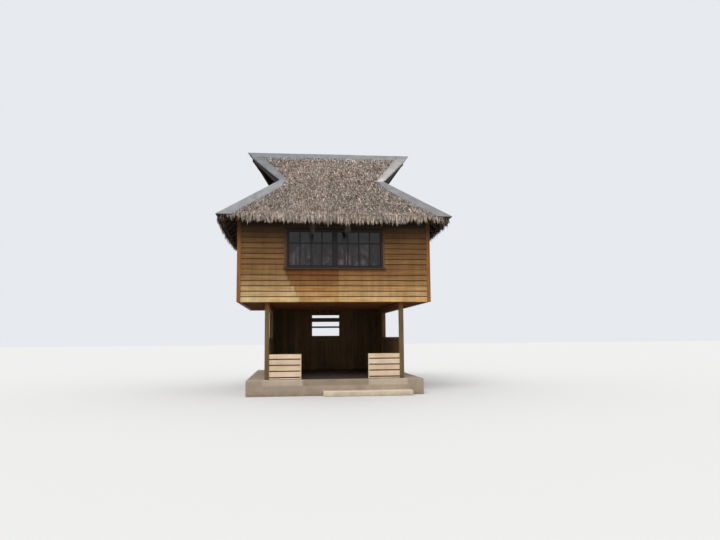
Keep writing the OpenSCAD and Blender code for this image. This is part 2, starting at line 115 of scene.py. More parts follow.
class Shader(Nodes):
    """One procedural material, with what the pieces say about each spot of their surface."""

    def __init__(self, name, values):
        self.material = bpy.data.materials.new(name)
        self.material.use_nodes = True
        super().__init__(self.material.node_tree)
        self.surface = self.tree.nodes["Principled BSDF"]
        self.fill(self.surface, values)
        self.place = self.node("TexCoord").outputs["Object"]
        self.across, self.depth, self.height = self.node("SeparateXYZ", {0: self.place}).outputs
        self.tint = self.node("Attribute", attribute_name="tint").outputs["Vector"]
        self.grain = self.node("Attribute", attribute_name="grain").outputs["Vector"]
        self.wear_and_root_shade = self.node("Attribute", attribute_name="wear_and_root_shade").outputs["Fac"]

    def noise(self, vector, scale, detail=4.0, roughness=0.55, distortion=0.0):
        """Noise of one scale, or of one for each axis."""
        if isinstance(scale, tuple):
            vector, scale = self.node("Mapping", {"Vector": vector, "Scale": scale}).outputs["Vector"], 1.0
        return self.node("TexNoise", {
            "Vector": vector, "Scale": scale, "Detail": detail,
            "Roughness": roughness, "Distortion": distortion,
        }).outputs["Fac"]

    def ramp(self, factor, low, first, high, second):
        made = self.node("ValToRGB", {"Fac": factor})
        for element, position, colour in zip(made.color_ramp.elements, (low, high), (first, second)):
            element.position, element.color = position, (*colour[:3], 1.0)
        return made.outputs["Color"]

    def spread(self, factor, low, high, start=0.0, end=1.0):
        return self.node("MapRange", {
            "Value": factor, "From Min": low, "From Max": high, "To Min": start, "To Max": end,
        }).outputs["Result"]

    def product(self, first, *others):
        for other in others:
            first = self.math("MULTIPLY", first, other)
        return first

    def times(self, colour, *layers):
        for layer in layers:
            colour = self.mix(1.0, colour, layer, "MULTIPLY")
        return colour

    def wood_grain(self):
        """Fine fibres and a broader figure that run along each board."""
        fibres = self.noise(self.grain, (2.5, 90, 90), 6.0, 0.65)
        figure = self.noise(self.grain, (0.9, 16, 16), 3.0, 0.5, 1.4)
        return self.math("ADD", self.product(fibres, 0.45), self.product(figure, 0.55))

    def finish(self, colour, roughness, height, depth, strength):
        bump = self.node("Bump", {"Height": height, "Distance": depth, "Strength": strength})
        self.fill(self.surface, {"Base Color": colour, "Roughness": roughness, "Normal": bump.outputs[0]})
        return self.material


def wood(name, *colours, rough=(0.5, 0.8), depth=0.002, eave_painted_shade=1.0):
    """Timber whose grain follows each board: fibres, stains, worn edges and, where asked, painted shade close
    under the eave.
    """
    s = Shader(name, {"Specular IOR Level": 0.35})
    light, dark, worn = map(linear, colours)
    both = s.wood_grain()
    stains = s.noise(s.place, 1.7, 5.0, 0.6)
    colour = s.times(
        s.ramp(both, 0.36, dark, 0.62, light), s.tint,
        s.ramp(stains, 0.3, (0.78, 0.77, 0.76), 0.65, (1.08, 1.07, 1.06)),
    )
    patches = s.spread(s.noise(s.place, 9.0), 0.4, 0.62)
    colour = s.mix(s.product(s.wear_and_root_shade, patches, 0.6), colour, worn)
    # Painted shade: darker from 4.0 m up to 4.45 m, where the eave's shadow falls.
    if eave_painted_shade < 1:
        colour = s.times(colour, s.ramp(s.spread(s.height, 4.0, 4.45), 0, (1, 1, 1), 1, (eave_painted_shade,) * 3))
    return s.finish(colour, s.spread(both, 0.3, 0.7, *rough), both, depth, 0.8)


def stained(name, *colours):
    """Lapped planks whose stain has washed off in patches, most of all low on the wall."""
    s = Shader(name, {"Specular IOR Level": 0.3})
    light, dark, cream = map(linear, colours)
    both = s.wood_grain()
    colour = s.times(s.ramp(both, 0.36, dark, 0.62, light), s.tint)
    washed = s.times(s.ramp(both, 0.3, (0.8, 0.78, 0.75), 0.62, (1.03, 1.03, 1.03)), cream)
    washed = s.mix(0.7, washed, s.times(washed, s.tint))
    patches = s.noise(s.place, (1.5, 1.5, 6.4), 5.0, 0.62, 0.3)
    low = s.spread(s.height, 3.2, 2.6, 0.08, 0.8)
    share = s.product(s.spread(patches, 0.36, 0.64, 0.3, 1.0), low)
    share = s.math("MAXIMUM", share, s.product(s.wear_and_root_shade, low, 0.5))
    streaks = s.ramp(s.noise(s.place, (7, 7, 0.9), 4.0, 0.6), 0.32, (0.8, 0.77, 0.74), 0.6, (1.04,) * 3)
    colour = s.times(s.mix(share, colour, washed), streaks)
    return s.finish(colour, s.spread(both, 0.3, 0.7, 0.55, 0.85), both, 0.003, 0.8)


def concrete(name, *colours, paint=None):
    """Cement render: trowel clouds, fine grit, small pits and splash stains near the ground."""
    s = Shader(name, {"Specular IOR Level": 0.3})
    light, dark, stain = map(linear, colours)
    clouds, grit = s.noise(s.place, 2.2, 6.0, 0.6, 0.4), s.noise(s.place, 180.0, 3.0, 0.7)
    pits = s.spread(s.node("TexVoronoi", {"Vector": s.place, "Scale": 38.0}).outputs["Distance"], 0.06, 0.16)
    colour = s.mix(0.35, s.ramp(clouds, 0.3, dark, 0.68, light), s.ramp(grit, 0.3, dark, 0.7, light))
    splash = s.product(s.spread(s.height, 0.17, 0.0), s.spread(s.noise(s.place, 5.0, 5.0), 0.35, 0.65), 0.5)
    colour = s.mix(s.product(s.wear_and_root_shade, 0.35), s.mix(splash, colour, stain), light)
    if paint is not None:
        colour = paint(s, colour)
    bump = s.math("ADD", s.math("ADD", s.product(clouds, 0.6), s.product(grit, 0.12)), s.product(pits, 0.25))
    return s.finish(colour, s.spread(clouds, 0.3, 0.7, 0.72, 0.92), bump, 0.004, 0.9)


# Where the slab's floor inside the ground room is darkened with painted shade, and the band along its top
# edge, paler under the low walls, in metres.
ROOM_WIDE, ROOM_FRONT, ROOM_REAR, FLOOR_HIGH = 1.82, -2.59, 2.46, 0.37
BAND_LOW, BAND_WIDE, BAND_START = 0.27, 1.9, 0.87
ROOM_FLOOR_PAINTED_SHADE, BAND_SHADE, BAND_PALE = (0.17, 0.13, 0.11, 1), (0.78, 0.79, 0.78, 1), (1.26, 1.29, 1.32, 1)


def slab_paint(s, colour):
    """Darkens the floor of the ground room with painted shade, and tints the slab's edge in front of it."""
    across, depth = s.math("ABSOLUTE", s.across), s.depth
    inner = s.product(
        s.spread(across, ROOM_WIDE + 0.02, ROOM_WIDE), s.spread(s.height, FLOOR_HIGH, FLOOR_HIGH + 0.02),
        s.spread(depth, ROOM_FRONT, ROOM_FRONT + 0.03), s.spread(depth, ROOM_REAR, ROOM_REAR - 0.02),
    )
    band = s.product(
        s.spread(s.height, BAND_LOW - 0.015, BAND_LOW + 0.015), s.spread(depth, ROOM_FRONT, ROOM_FRONT - 0.1),
        s.spread(across, BAND_WIDE + 0.04, BAND_WIDE),
    )
    shade = s.mix(s.spread(across, BAND_START - 0.02, BAND_START + 0.02), BAND_SHADE, BAND_PALE)
    colour = s.mix(band, colour, s.times(colour, shade))
    # Painted shade over the ground room's floor, for the room's deep shadow.
    return s.mix(inner, colour, s.times(colour, ROOM_FLOOR_PAINTED_SHADE))


def thatch_material(name, *colours):
    """Dry leaf strips: pale and brown fibres, darker towards each strip's root with painted shade, with
    specks and patches.
    """
    s = Shader(name, {"Specular IOR Level": 0.25, "Sheen Weight": 0.08})
    pale, brown, shade, tip = map(linear, colours)
    fibres = s.noise(s.grain, (7, 260, 260), 3.0, 0.6)
    colour = s.mix(s.spread(s.wear_and_root_shade, 0.6, 1.0, 0.0, 0.35), s.ramp(fibres, 0.3, brown, 0.62, pale), tip)
    # Painted shade towards each strip's root, where the strips above would shade it.
    colour = s.mix(s.spread(s.wear_and_root_shade, 0.0, 0.6, 0.8, 0.0), colour, shade)
    patches, hues = s.noise(s.place, 2.6, 4.0, 0.6), s.noise(s.place, 4.4, 3.0, 0.6)
    specks = s.noise(s.place, (23, 23, 14), 2.0, 0.5)
    soft = s.ramp(specks, 0.36, (0.63, 0.6, 0.575), 0.64, (1.29, 1.32, 1.36))
    strong = s.ramp(specks, 0.38, (0.465, 0.44, 0.42), 0.62, (1.43, 1.46, 1.51))
    colour = s.times(
        colour, s.tint, s.ramp(patches, 0.3, (0.84, 0.82, 0.81), 0.7, (1.08, 1.08, 1.07)),
        s.mix(s.spread(s.height, 4.8, 6.3), soft, strong),
        s.ramp(hues, 0.38, (1.04, 0.97, 1.0), 0.62, (0.97, 1.01, 0.97)),
        s.ramp(s.spread(s.height, 5.3, 7.2), 0, (1, 1, 1), 1, (1.26, 1.25, 1.24)),
    )
    return s.finish(colour, s.spread(fibres, 0.3, 0.7, 0.7, 0.95), fibres, 0.001, 0.6)


def sheet_metal(name, *colours):
    """Painted galvanised sheet: faint spangle, dull weathered clouds and a little dirt in runs."""
    s = Shader(name, {"Metallic": 0.15, "Coat Weight": 0.1, "Coat Roughness": 0.4})
    pale, dull, dirt = map(linear, colours)
    clouds = s.noise(s.place, 3.5, 5.0, 0.6, 0.6)
    runs = s.spread(s.noise(s.grain, (1.6, 26, 26), 4.0, 0.6), 0.52, 0.72)
    spangle = s.node("TexVoronoi", {"Vector": s.place, "Scale": 85.0}).outputs["Color"]
    spangle = s.node("SeparateColor", {0: spangle}).outputs["Red"]
    colour = s.mix(s.product(runs, 0.35), s.ramp(clouds, 0.32, dull, 0.62, pale), dirt)
    rough = s.math("ADD", s.spread(clouds, 0.3, 0.7, 0.5, 0.34), s.product(spangle, 0.06))
    bump = s.math("ADD", s.product(clouds, 0.8), s.product(spangle, 0.04))
    return s.finish(s.times(colour, s.tint), rough, bump, 0.003, 0.5)


def glass_material(name):
    """Dark window glass with dust in clouds and runs, most of it low on the panes: partly real dust, partly
    painted shade that keeps the glass dark high up under the eave.
    """
    s = Shader(name, {"Transmission Weight": 0.25})
    dust = s.noise(s.place, 3.0, 6.0, 0.65, 0.8)
    both = s.product(s.spread(dust, 0.42, 0.7), s.spread(s.noise(s.place, (9, 9, 0.7)), 0.4, 0.66))
    # Less dust high up: the upper panes stay dark, painted shade under the eave.
    share = s.product(both, s.spread(s.height, 4.25, 3.6, 0.25, 1.0))
    colour = s.mix(share, linear((22, 17, 18)), linear((132, 118, 120)))
    return s.finish(colour, s.spread(both, 0.0, 1.0, 0.05, 0.34), dust, 0.0004, 0.2)


# Which way each side of the house faces: along it, up, and outward.
SIDES = ("front", "rear", "left", "right")
OUTWARD = ((0, -1), (0, 1), (-1, 0), (1, 0))
FACING = {side: np.array([(-y, x, 0), (0, 0, 1), (x, y, 0)], float) for side, (x, y) in zip(SIDES, OUTWARD)}
CORNERS = [(x, y) for x in (-1, 1) for y in (-1, 1)]
BODY = "root"


def chamfered_box():
    """Corner signs, own axes and faces of a box whose edges and corners are cut."""
    signs = np.repeat([[1.0 if corner >> k & 1 else -1.0 for k in range(3)] for corner in range(8)], 3, 0)
    own = np.tile(np.eye(3), (8, 1))
    quads = []
    for axis in range(3):
        b, c = 1 << (axis + 1) % 3, 1 << (axis + 2) % 3
        for side in (0, 1 << axis):
            quads.append([3 * (side + corner) + axis for corner in (0, b, b + c, c)])
    for c in range(3):
        a, b = (c + 1) % 3, (c + 2) % 3
        for near in (0, 1 << b, 1 << a, (1 << a) + (1 << b)):
            far = near + (1 << c)
            quads.append([3 * near + a, 3 * far + a, 3 * far + b, 3 * near + b])
    tris = [[3 * corner, 3 * corner + 1, 3 * corner + 2] for corner in range(8)]
    sample = signs * (1 - 0.2 * (1 - own))
    for face in quads + tris:
        points = sample[face]
        if np.cross(points[1] - points[0], points[2] - points[0]) @ points.mean(0) < 0:
            face.reverse()
    return signs, own, np.array(quads), np.array(tris)


BOX_SIGNS, BOX_OWN, BOX_QUADS, BOX_TRIS = chamfered_box()
MAIN_FACES = 6


class Batch:
    """Mesh data of many small solids or strips that become one piece."""

    def __init__(self, seed=1, basis=np.eye(3)):
        self.rng, self.basis = np.random.default_rng(seed), basis
        self.parts, self.count = [], 0

    def add(self, verts, quads, tris, grain, tint, *wear_and_root_shade):
        self.parts.append((verts, quads + self.count, tris + self.count, grain, tint, *wear_and_root_shade))
        self.count += len(verts)

    def shades(self, count, spread=0.12, warm=0.04):
        """One tint for each board: brighter or darker, redder or yellower."""
        bright, hue = (self.rng.normal(0, s, (count, 1)).clip(-2 * s, 2 * s) for s in (spread, warm))
        return (1 + bright) * np.hstack([1 + hue * 0.4, 1 + hue * 0.1, 1 - hue])

    def boards(self, spans, chamfer, along, spread, warm=0.04, tint=1.0, shape=None):
        """Boards with cut edges, given by start and end on each axis of the basis, with the grain along one.

        Their tints differ by a spread, or are the given ones if that is None."""
        spans = np.atleast_2d(spans).astype(float)
        low, high, count = spans[:, ::2], spans[:, 1::2], len(spans)
        half = (high - low) / 2
        tint = tint if spread is None else self.shades(count, spread, warm) * tint
        cut = np.minimum(chamfer, half.min(1) * 0.45)[:, None, None]
        local = BOX_SIGNS * (half[:, None] - cut * (1 - BOX_OWN))
        points = ((low + high) / 2)[:, None] + local
        if shape is not None:
            points = shape(points, low, high)
        grain = np.roll(local, -along, 2) + self.rng.uniform(0, 40, (count, 1, 3))
        shift = (np.arange(count) * len(BOX_SIGNS))[:, None, None]
        quads, tris = (BOX_QUADS + shift).reshape(-1, 4), (BOX_TRIS + shift).reshape(-1, 3)
        tint = np.repeat(tint, len(BOX_SIGNS), 0)
        wear_and_root_shade = np.tile(np.arange(len(BOX_QUADS)) >= MAIN_FACES, count)
        points = (points @ self.basis).reshape(-1, 3)
        self.add(points, quads, tris, grain.reshape(-1, 3), tint, wear_and_root_shade, np.ones(len(tris)))

    def piece(self, name, material, node):
        """Makes the piece. The solids' worn faces are told by quads and then by triangles, the strips' ramp
        from root to tip, which carries painted shade near the root, by points.
        """
        verts, quads, tris, grain, tint, *wear_and_root_shade = (np.concatenate(parts) for parts in zip(*self.parts))
        mesh = bpy.data.meshes.new(name)
        mesh.from_pydata(verts.tolist(), [], quads.tolist() + tris.tolist())
        mesh.validate()
        give(mesh, "grain", grain)
        give(mesh, "tint", tint)
        give(mesh, "wear_and_root_shade", np.concatenate(wear_and_root_shade), "POINT" if len(wear_and_root_shade) == 1 else "FACE")
        place_piece(name, mesh, material, node)


def give(mesh, name, values, domain="POINT"):
    values = np.asarray(values, np.float32)
    kind, field = ("FLOAT_VECTOR", "vector") if values.ndim == 2 else ("FLOAT", "value")
    mesh.attributes.new(name, kind, domain).data.foreach_set(field, values.ravel())


def place_piece(name, mesh, material, node, smooth=False):
    piece = linked(name, mesh)
    mesh.materials.append(material)
    mesh.polygons.foreach_set("use_smooth", np.full(len(mesh.polygons), smooth))
    mesh.update()
    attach(piece, BODY)
    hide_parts(node)


def cad_solid(node):
    """A node's shape with its flat faces whole again, ready to be worked on."""
    solid = bmesh.new()
    solid.from_mesh(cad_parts[node].data)
    bmesh.ops.remove_doubles(solid, verts=solid.verts, dist=1e-5)
    bmesh.ops.dissolve_limit(solid, angle_limit=0.003, verts=solid.verts, edges=solid.edges)
    return solid


def to_mesh(solid, name):
    mesh = bpy.data.meshes.new(name)
    solid.to_mesh(mesh)
    solid.free()
    return mesh


def refine(solid, longest, triangles, **settings):
    """Halves a solid's edges until none is long, with its faces cut to triangles each time if asked."""
    for _ in range(7):
        edges = [e for e in solid.edges if e.calc_length() > longest]
        if not edges:
            break
        bmesh.ops.subdivide_edges(solid, edges=edges, cuts=1, **settings)
        if triangles:
            bmesh.ops.triangulate(solid, faces=[f for f in solid.faces if len(f.verts) > 3])


def islands(mesh):
    """The number of the separate solid that each vertex belongs to."""
    ends = np.array([edge.vertices[:] for edge in mesh.edges])
    label, before = np.arange(len(mesh.vertices)), None
    while before is None or (label != before).any():
        before, low = label.copy(), label[ends].min(1)
        for column in ends.T:
            np.minimum.at(label, column, low)
    return np.unique(label, return_inverse=True)[1]


def cut_into_boards(solid, places, gap):
    """Saws a solid across the Y axis into boards with a narrow gap between them."""
    boards = bmesh.new()
    for start, end in pairwise(places):
        part = solid.copy()
        for place, sign in ((start + gap / 2, -1), (end - gap / 2, 1)):
            bmesh.ops.bisect_plane(
                part, geom=part.verts[:] + part.edges[:] + part.faces[:],
                plane_co=(0, place, 0), plane_no=(0, sign, 0), clear_outer=True,
            )
            bmesh.ops.holes_fill(part, edges=[e for e in part.edges if e.is_boundary])
        step = to_mesh(part, "step")
        boards.from_mesh(step)
        bpy.data.meshes.remove(step)
    return boards


def timber(seed, name, node, material, bevel, spread, hue=(1, 1, 1), solid=None):
    """A node's own solids as sawn timber: each with eased edges, its own shade and grain along it."""
    solid = solid or cad_solid(node)
    wear_and_root_shade = solid.faces.layers.float.new("wear_and_root_shade")
    sharp = [e for e in solid.edges if len(e.link_faces) == 2 and e.calc_face_angle(0) > 0.35]
    made = bmesh.ops.bevel(solid, geom=sharp, offset=bevel, segments=1, affect="EDGES", clamp_overlap=True)
    for face in made["faces"]:
        face[wear_and_root_shade] = 1.0
    mesh = to_mesh(solid, name)
    label = islands(mesh)
    places = np.array([vert.co[:] for vert in mesh.vertices])
    batch = Batch(seed)
    shades = batch.shades(label.max() + 1, spread) * np.array(hue)
    grain = np.empty_like(places)
    for number in range(len(shades)):
        own = label == number
        spot = places[own] - places[own].mean(0)
        axes = np.linalg.eigh(spot.T @ spot)[1][:, ::-1]
        grain[own] = spot @ axes + batch.rng.uniform(0, 40, 3)
    give(mesh, "grain", grain)
    give(mesh, "tint", shades[label])
    place_piece(name, mesh, material, node)


def worn_block(name, node, material, cell=0.09, edge=0.014, seed=3.0):
    """A cast block with rounded, slightly chipped edges and faces that aren't quite flat."""
    solid = cad_solid(node)
    wear_and_root_shade = solid.faces.layers.float.new("wear_and_root_shade")
    made = bmesh.ops.bevel(solid, geom=solid.edges[:], offset=edge, segments=3, profile=0.5, affect="EDGES")
    for face in made["faces"]:
        face[wear_and_root_shade] = 1.0
    refine(solid, cell * 1.6, False, use_grid_fill=True)
    bmesh.ops.triangulate(solid, faces=[f for f in solid.faces if len(f.verts) > 4])
    low, high = (np.array(v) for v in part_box(node))
    solid.normal_update()
    for vert in solid.verts:
        if vert.co.z < 0.004:
            continue
        inset = 0.0025 * (0.5 + 0.5 * noise.noise(vert.co * 3.1 + Vector((seed, 0, 0))))
        if np.sort(np.minimum(np.array(vert.co) - low, high - np.array(vert.co)))[1] < edge * 1.5:
            inset += 0.009 * max(0.0, noise.noise(vert.co * 11.0) - 0.25)
        vert.co -= vert.normal * inset
    place_piece(name, to_mesh(solid, name), material, node, smooth=True)


# Upper walls: where the planks, window and corners lie, in metres. "out" is from the house's middle.
WALL_OUT, WALL_THICK, WALL_LOW, WALL_HIGH = 2.6, 0.1, 2.47, 4.88
PLANK_PITCH, PLANK_TOP, PLANK_BOTTOM, PLANK_END = 0.1455, 0.007, 0.0175, 2.5235
CHANNEL, BUTT, HEADING = 0.021, 0.0016, 0.0008
OPENING_LOW, OPENING_HIGH, OPENING_HALF = 3.39, 4.45, 1.31
CASING_OUT, SILL_LOW = 1.3715, 3.348
LINING, LININGS, LINING_LOW = 0.012, 36, 2.642
# Two joints a row below the window: the left one slants from the bottom of the wall up to the sill.
LEFT_JOINTS, RIGHT_JOINT = (-0.98, -1.33), 0.10
# How bright the planks are from the bottom of the wall to the eave: paler low down where the stain has
# weathered, darker high up with painted shade under the eave; and how much darker the boards over the window
# are, with painted shade.
PLANK_WEATHER_AND_SHADE_HEIGHTS = (2.54, 2.69, 2.83, 2.98, 3.12, 3.3, 3.6, 4.1, 4.3, 4.4, 4.5)
PLANK_WEATHER_AND_SHADE_BRIGHT = (1.25, 1.1, 0.92, 0.7, 0.64, 0.5, 0.5, 0.43, 0.28, 0.18, 0.1)
OVER_WINDOW_PAINTED_SHADE = 0.4
# Under the window the boards are redder, most of all high up, and the ones beside them are greyer.
REDDER_HEIGHTS = (2.6, 2.98, 3.3)
REDDER = np.array([(0.9, 0.79, 0.58), (0.68, 0.5, 0.29), (0.76, 0.47, 0.2)])
GREYER = np.array([1.05, 1.22, 1.5])
# Windows: frame, lights, glass and bars, in metres.
FRAME_IN, FRAME_OUT, GLASS_OUT = 2.53, 2.63, 2.58
LIGHT_IN, LIGHT_OUT, LIGHT_LOW, LIGHT_HIGH = 0.055, 1.25, 3.45, 4.39
TRANSOM, BAR, BEAD, BARS_PER_LIGHT = 4.07, 0.034, 0.016, 3
# Ground storey: where the front low walls start beside the doorway, and their boards, joints and pale caps.
LOW_WALL_START, LOW_TRIM, LOW_BOARD, LOW_CHANNEL = 0.905, 0.02, 0.014, 0.03
LOW_JOINTS = (0.0, 0.032, 0.199, 0.3555, 0.515, 0.66)
LOW_CAP_TINT = (1.05, 1.0, 0.85)
# Its dark walls: the side ones' planes and how many boards each has, half the rear one's length and its hole.
GROUND_IN, GROUND_OUT, REAR_HALF, REAR_HOLE = 1.78, 1.86, 1.76, ((-0.52, 0.52), (1.40, 2.34))
GROUND_SIDES = (("side_low_wall_boards", "side_low_walls", 24), ("rear_bay_boards", "rear_bay_walls", 11))
# The upper floor's boards, and where their butt joints may lie.
FLOOR_BOARDS, FLOOR_JOINTS = 36, (-1.3, -0.2, 0.9)


def lapped(points, low, high):
    """Leans each plank's face out towards its lower edge, as lapped boards lie."""
    rise = (points[..., 1] - low[:, None, 1]) / (high - low)[:, None, 1]
    base, points = low[:, None, 2], points.copy()
    points[..., 2] = base + (points[..., 2] - base) * (1 - (1 - PLANK_TOP / PLANK_BOTTOM) * rise.clip(0, 1))
    return points


def plank_row(rng, low, high):
    """One row's planks, as start, end, low and high, broken at the window and at butt joints."""
    if high <= SILL_LOW:
        high = SILL_LOW if high + PLANK_PITCH > SILL_LOW else high
        joint = np.interp(low, (WALL_LOW, SILL_LOW - PLANK_PITCH), LEFT_JOINTS) + rng.uniform(-0.06, 0.03)
        ends = [-PLANK_END, joint, RIGHT_JOINT + rng.uniform(-0.004, 0.004), PLANK_END]
        return [(start, end, low, high) for start, end in pairwise(ends)]
    if low >= OPENING_HIGH:
        joint = rng.uniform(-1.2, 1.2)
        return [(-PLANK_END, joint, low, high), (joint, PLANK_END, low, high)]
    row = [(-PLANK_END, -CASING_OUT, low, high), (CASING_OUT, PLANK_END, low, high)]
    if high > OPENING_HIGH:
        row.append((-CASING_OUT, CASING_OUT, OPENING_HIGH - CHANNEL, high))
    return row


def upright_boards(edges, low, high, near, far, hole, gap=0.0):
    """Spans of a wall's upright boards, cut in two where they meet its opening."""
    (left, right), (bottom, top) = hole
    spans = []
    for start, end in pairwise(edges):
        cut = left < (start + end) / 2 < right
        for z0, z1 in ((low, bottom), (top, high)) if cut else ((low, high),):
            spans.append((start + gap, end - gap, z0, z1, near, far))
    return spans


def plank_wall(side, material, core_material, seed):
    """One upper wall: lapped planks over dark channels, a core around the window, and boards inside."""
    node, inner = side + "_wall", WALL_OUT - WALL_THICK
    ends = WALL_OUT if side in ("front", "rear") else inner
    core = Batch(seed + 100, FACING[side])
    core.boards([(*span, inner + LINING, WALL_OUT) for span in (
        (-ends, ends, WALL_LOW, OPENING_LOW), (-ends, ends, OPENING_HIGH, WALL_HIGH),
        (-ends, -OPENING_HALF, OPENING_LOW, OPENING_HIGH), (OPENING_HALF, ends, OPENING_LOW, OPENING_HIGH),
    )], 0.001, 0, 0.05)
    core.piece(node + "_core", core_material, node)

    batch = Batch(seed, FACING[side])
    spans, tints = [], []
    first = WALL_LOW + PLANK_PITCH - CHANNEL / 2
    rows = [WALL_LOW, *np.arange(first, WALL_HIGH - PLANK_PITCH / 4, PLANK_PITCH), WALL_HIGH]
    for number, row in enumerate(pairwise(rows)):
        for start, end, low, high in plank_row(batch.rng, *row):
            middle = (low + high) / 2
            # Paler low on the wall where the stain has weathered, darker up under the eave with painted
            # shade.
            shade = batch.shades(1, 0.07, 0.05)[0] * np.interp(middle, PLANK_WEATHER_AND_SHADE_HEIGHTS, PLANK_WEATHER_AND_SHADE_BRIGHT)
            if high <= SILL_LOW and -PLANK_END < start < RIGHT_JOINT - 0.1:
                shade = shade * [np.interp(middle, REDDER_HEIGHTS, REDDER[:, k]) for k in range(3)]
            elif high <= SILL_LOW and start < RIGHT_JOINT - 0.1:
                shade = shade * GREYER
            # Painted shade on the boards over the window, under the eave.
            elif low > TRANSOM and start < 1 and end > -1:
                shade = shade * OVER_WINDOW_PAINTED_SHADE
            low, high = low + (CHANNEL if number else HEADING), high - HEADING
            spans.append((start + BUTT / 2, end - BUTT / 2, low, high, WALL_OUT, WALL_OUT + PLANK_BOTTOM))
            tints.append(shade)
    batch.boards(spans, 0.0022, 0, None, tint=tints, shape=lapped)
    hole = (-OPENING_HALF, OPENING_HALF), (OPENING_LOW, OPENING_HIGH)
    edges = np.linspace(-inner, inner, LININGS + 1)
    spans = upright_boards(edges, LINING_LOW, WALL_HIGH, inner, inner + LINING - 0.0005, hole, 0.001)
    batch.boards(spans, 0.003, 1, 0.12, tint=0.7)
    batch.piece(node + "_planks", material, node)


def window(side, material, seed):
    """A window's frame, sash stiles and glazing bars, each its own stick of wood."""
    half, opening = BAR / 2, (OPENING_LOW, OPENING_HIGH)
    sticks = [(*span, FRAME_IN, FRAME_OUT) for span in (
        (-OPENING_HALF, -LIGHT_OUT, *opening), (LIGHT_OUT, OPENING_HALF, *opening),
        (-LIGHT_OUT, LIGHT_OUT, LIGHT_HIGH, OPENING_HIGH), (-LIGHT_OUT, LIGHT_OUT, OPENING_LOW, LIGHT_LOW),
        (-LIGHT_IN, LIGHT_IN, LIGHT_LOW, LIGHT_HIGH),
    )]
    levels = (LIGHT_LOW, BEAD), (LIGHT_HIGH - BEAD, BEAD), (TRANSOM - half, BAR)
    heights = (LIGHT_LOW + BEAD, TRANSOM - half), (TRANSOM + half, LIGHT_HIGH - BEAD)
    for start, end in ((-LIGHT_OUT, -LIGHT_IN), (LIGHT_IN, LIGHT_OUT)):
        bars = [(u, u + BEAD, LIGHT_LOW, LIGHT_HIGH) for u in (start, end - BEAD)]
        bars += [(start + BEAD, end - BEAD, w, w + wide) for w, wide in levels]
        middles = np.linspace(start, end, BARS_PER_LIGHT + 2)[1:-1]
        bars += [(u - half, u + half, *height) for u in middles for height in heights]
        sticks += [(*bar, GLASS_OUT - half, GLASS_OUT + half) for bar in bars]
    sticks = np.array(sticks)
    upright = sticks[:, 1] - sticks[:, 0] <= sticks[:, 3] - sticks[:, 2]
    batch = Batch(seed, FACING[side])
    for axis in (0, 1):
        batch.boards(sticks[upright == axis], 0.003, axis, 0.08)
    batch.piece(side + "_window_bars", material, side + "_window_frame")


def ground_boards(dark, pale, joint):
    """The ground storey's board walls, from the same planes as the frame's."""
    node = "front_low_walls"
    low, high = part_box(node)
    near, far, top = -high.y, -low.y, high.z - LOW_TRIM
    cores, batch = Batch(50, FACING["front"]), Batch(51, FACING["front"])
    for sign in (-1, 1):
        post, edge, end = (sign * x for x in (LOW_WALL_START, LOW_WALL_START + LOW_TRIM, high.x))
        wall = sorted((edge, end))
        cores.boards((*wall, low.z, top, near + LOW_BOARD, far - LOW_BOARD), 0.001, 0, 0.05)
        for number, (z0, z1) in enumerate(pairwise(LOW_JOINTS)):
            z0, z1 = low.z + z0 + (LOW_CHANNEL if number else 0), min(low.z + z1, top) - HEADING
            for d0 in (far - LOW_BOARD, near):
                batch.boards((*wall, z0, z1, d0, d0 + LOW_BOARD), 0.003, 0, 0.06, 0.05)
        batch.boards((*sorted((post, edge)), low.z, top, near, far), 0.003, 1, 0.05)
        batch.boards((*sorted((post, end)), top, high.z, near, far), 0.003, 0, 0.03, tint=LOW_CAP_TINT)
    cores.piece("front_low_wall_core", joint, node)
    batch.piece("front_low_wall_boards", pale, node)
    for name, node, count in GROUND_SIDES:
        low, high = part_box(node)
        batch = Batch(count)
        for wall in ((-GROUND_OUT, -GROUND_IN), (GROUND_IN, GROUND_OUT)):
            for span in pairwise(np.linspace(low.y, high.y, count + 1)):
                batch.boards((*wall, *span, low.z, high.z), 0.005, 2, 0.14, 0.05)
        batch.piece(name, dark, node)
    low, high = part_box("ground_rear_wall")
    side = np.linspace(REAR_HOLE[0][1], REAR_HALF, 10)
    edges = [*-side[::-1], *np.linspace(*REAR_HOLE[0], 9)[1:-1], *side]
    batch = Batch(53, FACING["rear"])
    batch.boards(upright_boards(edges, low.z, high.z, low.y, high.y, REAR_HOLE), 0.005, 1, 0.14)
    batch.piece("ground_rear_boards", dark, "ground_rear_wall")


def floor_boards(material):
    """The upper floor's boards, laid across the joists with butt joints over them."""
    low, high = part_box("upper_floor")
    batch = Batch(61)
    for x0, x1 in pairwise(np.linspace(low.x, high.x, FLOOR_BOARDS + 1)):
        joint = batch.rng.choice(FLOOR_JOINTS)
        for y0, y1 in ((low.y, joint), (joint, high.y)):
            span = (x0 + 0.001, x1 - 0.001, y0 + 0.0005, y1 - 0.0005, low.z, high.z)
            batch.boards(span, 0.002, 1, 0.12)
    batch.piece("upper_floor_boards", material, "upper_floor")


# Thatch: how deep strips are rooted, how far they stand out or lie over a cap, and how deep the imported core
# lies, in metres. Then how bright the core is on top, and how dark its other faces are with painted shade.
ROOT_DEEP, TIP_HIGH, OVER_CAP, CORE_DEEP = 0.024, 0.007, 0.017, 0.026
CORE_TINT, UNDER_PAINTED_SHADE = (0.7, 0.7, 0.7), (0.2, 0.2, 0.2)
SLOPE = math.radians(39.4)
RISE = math.tan(SLOPE)
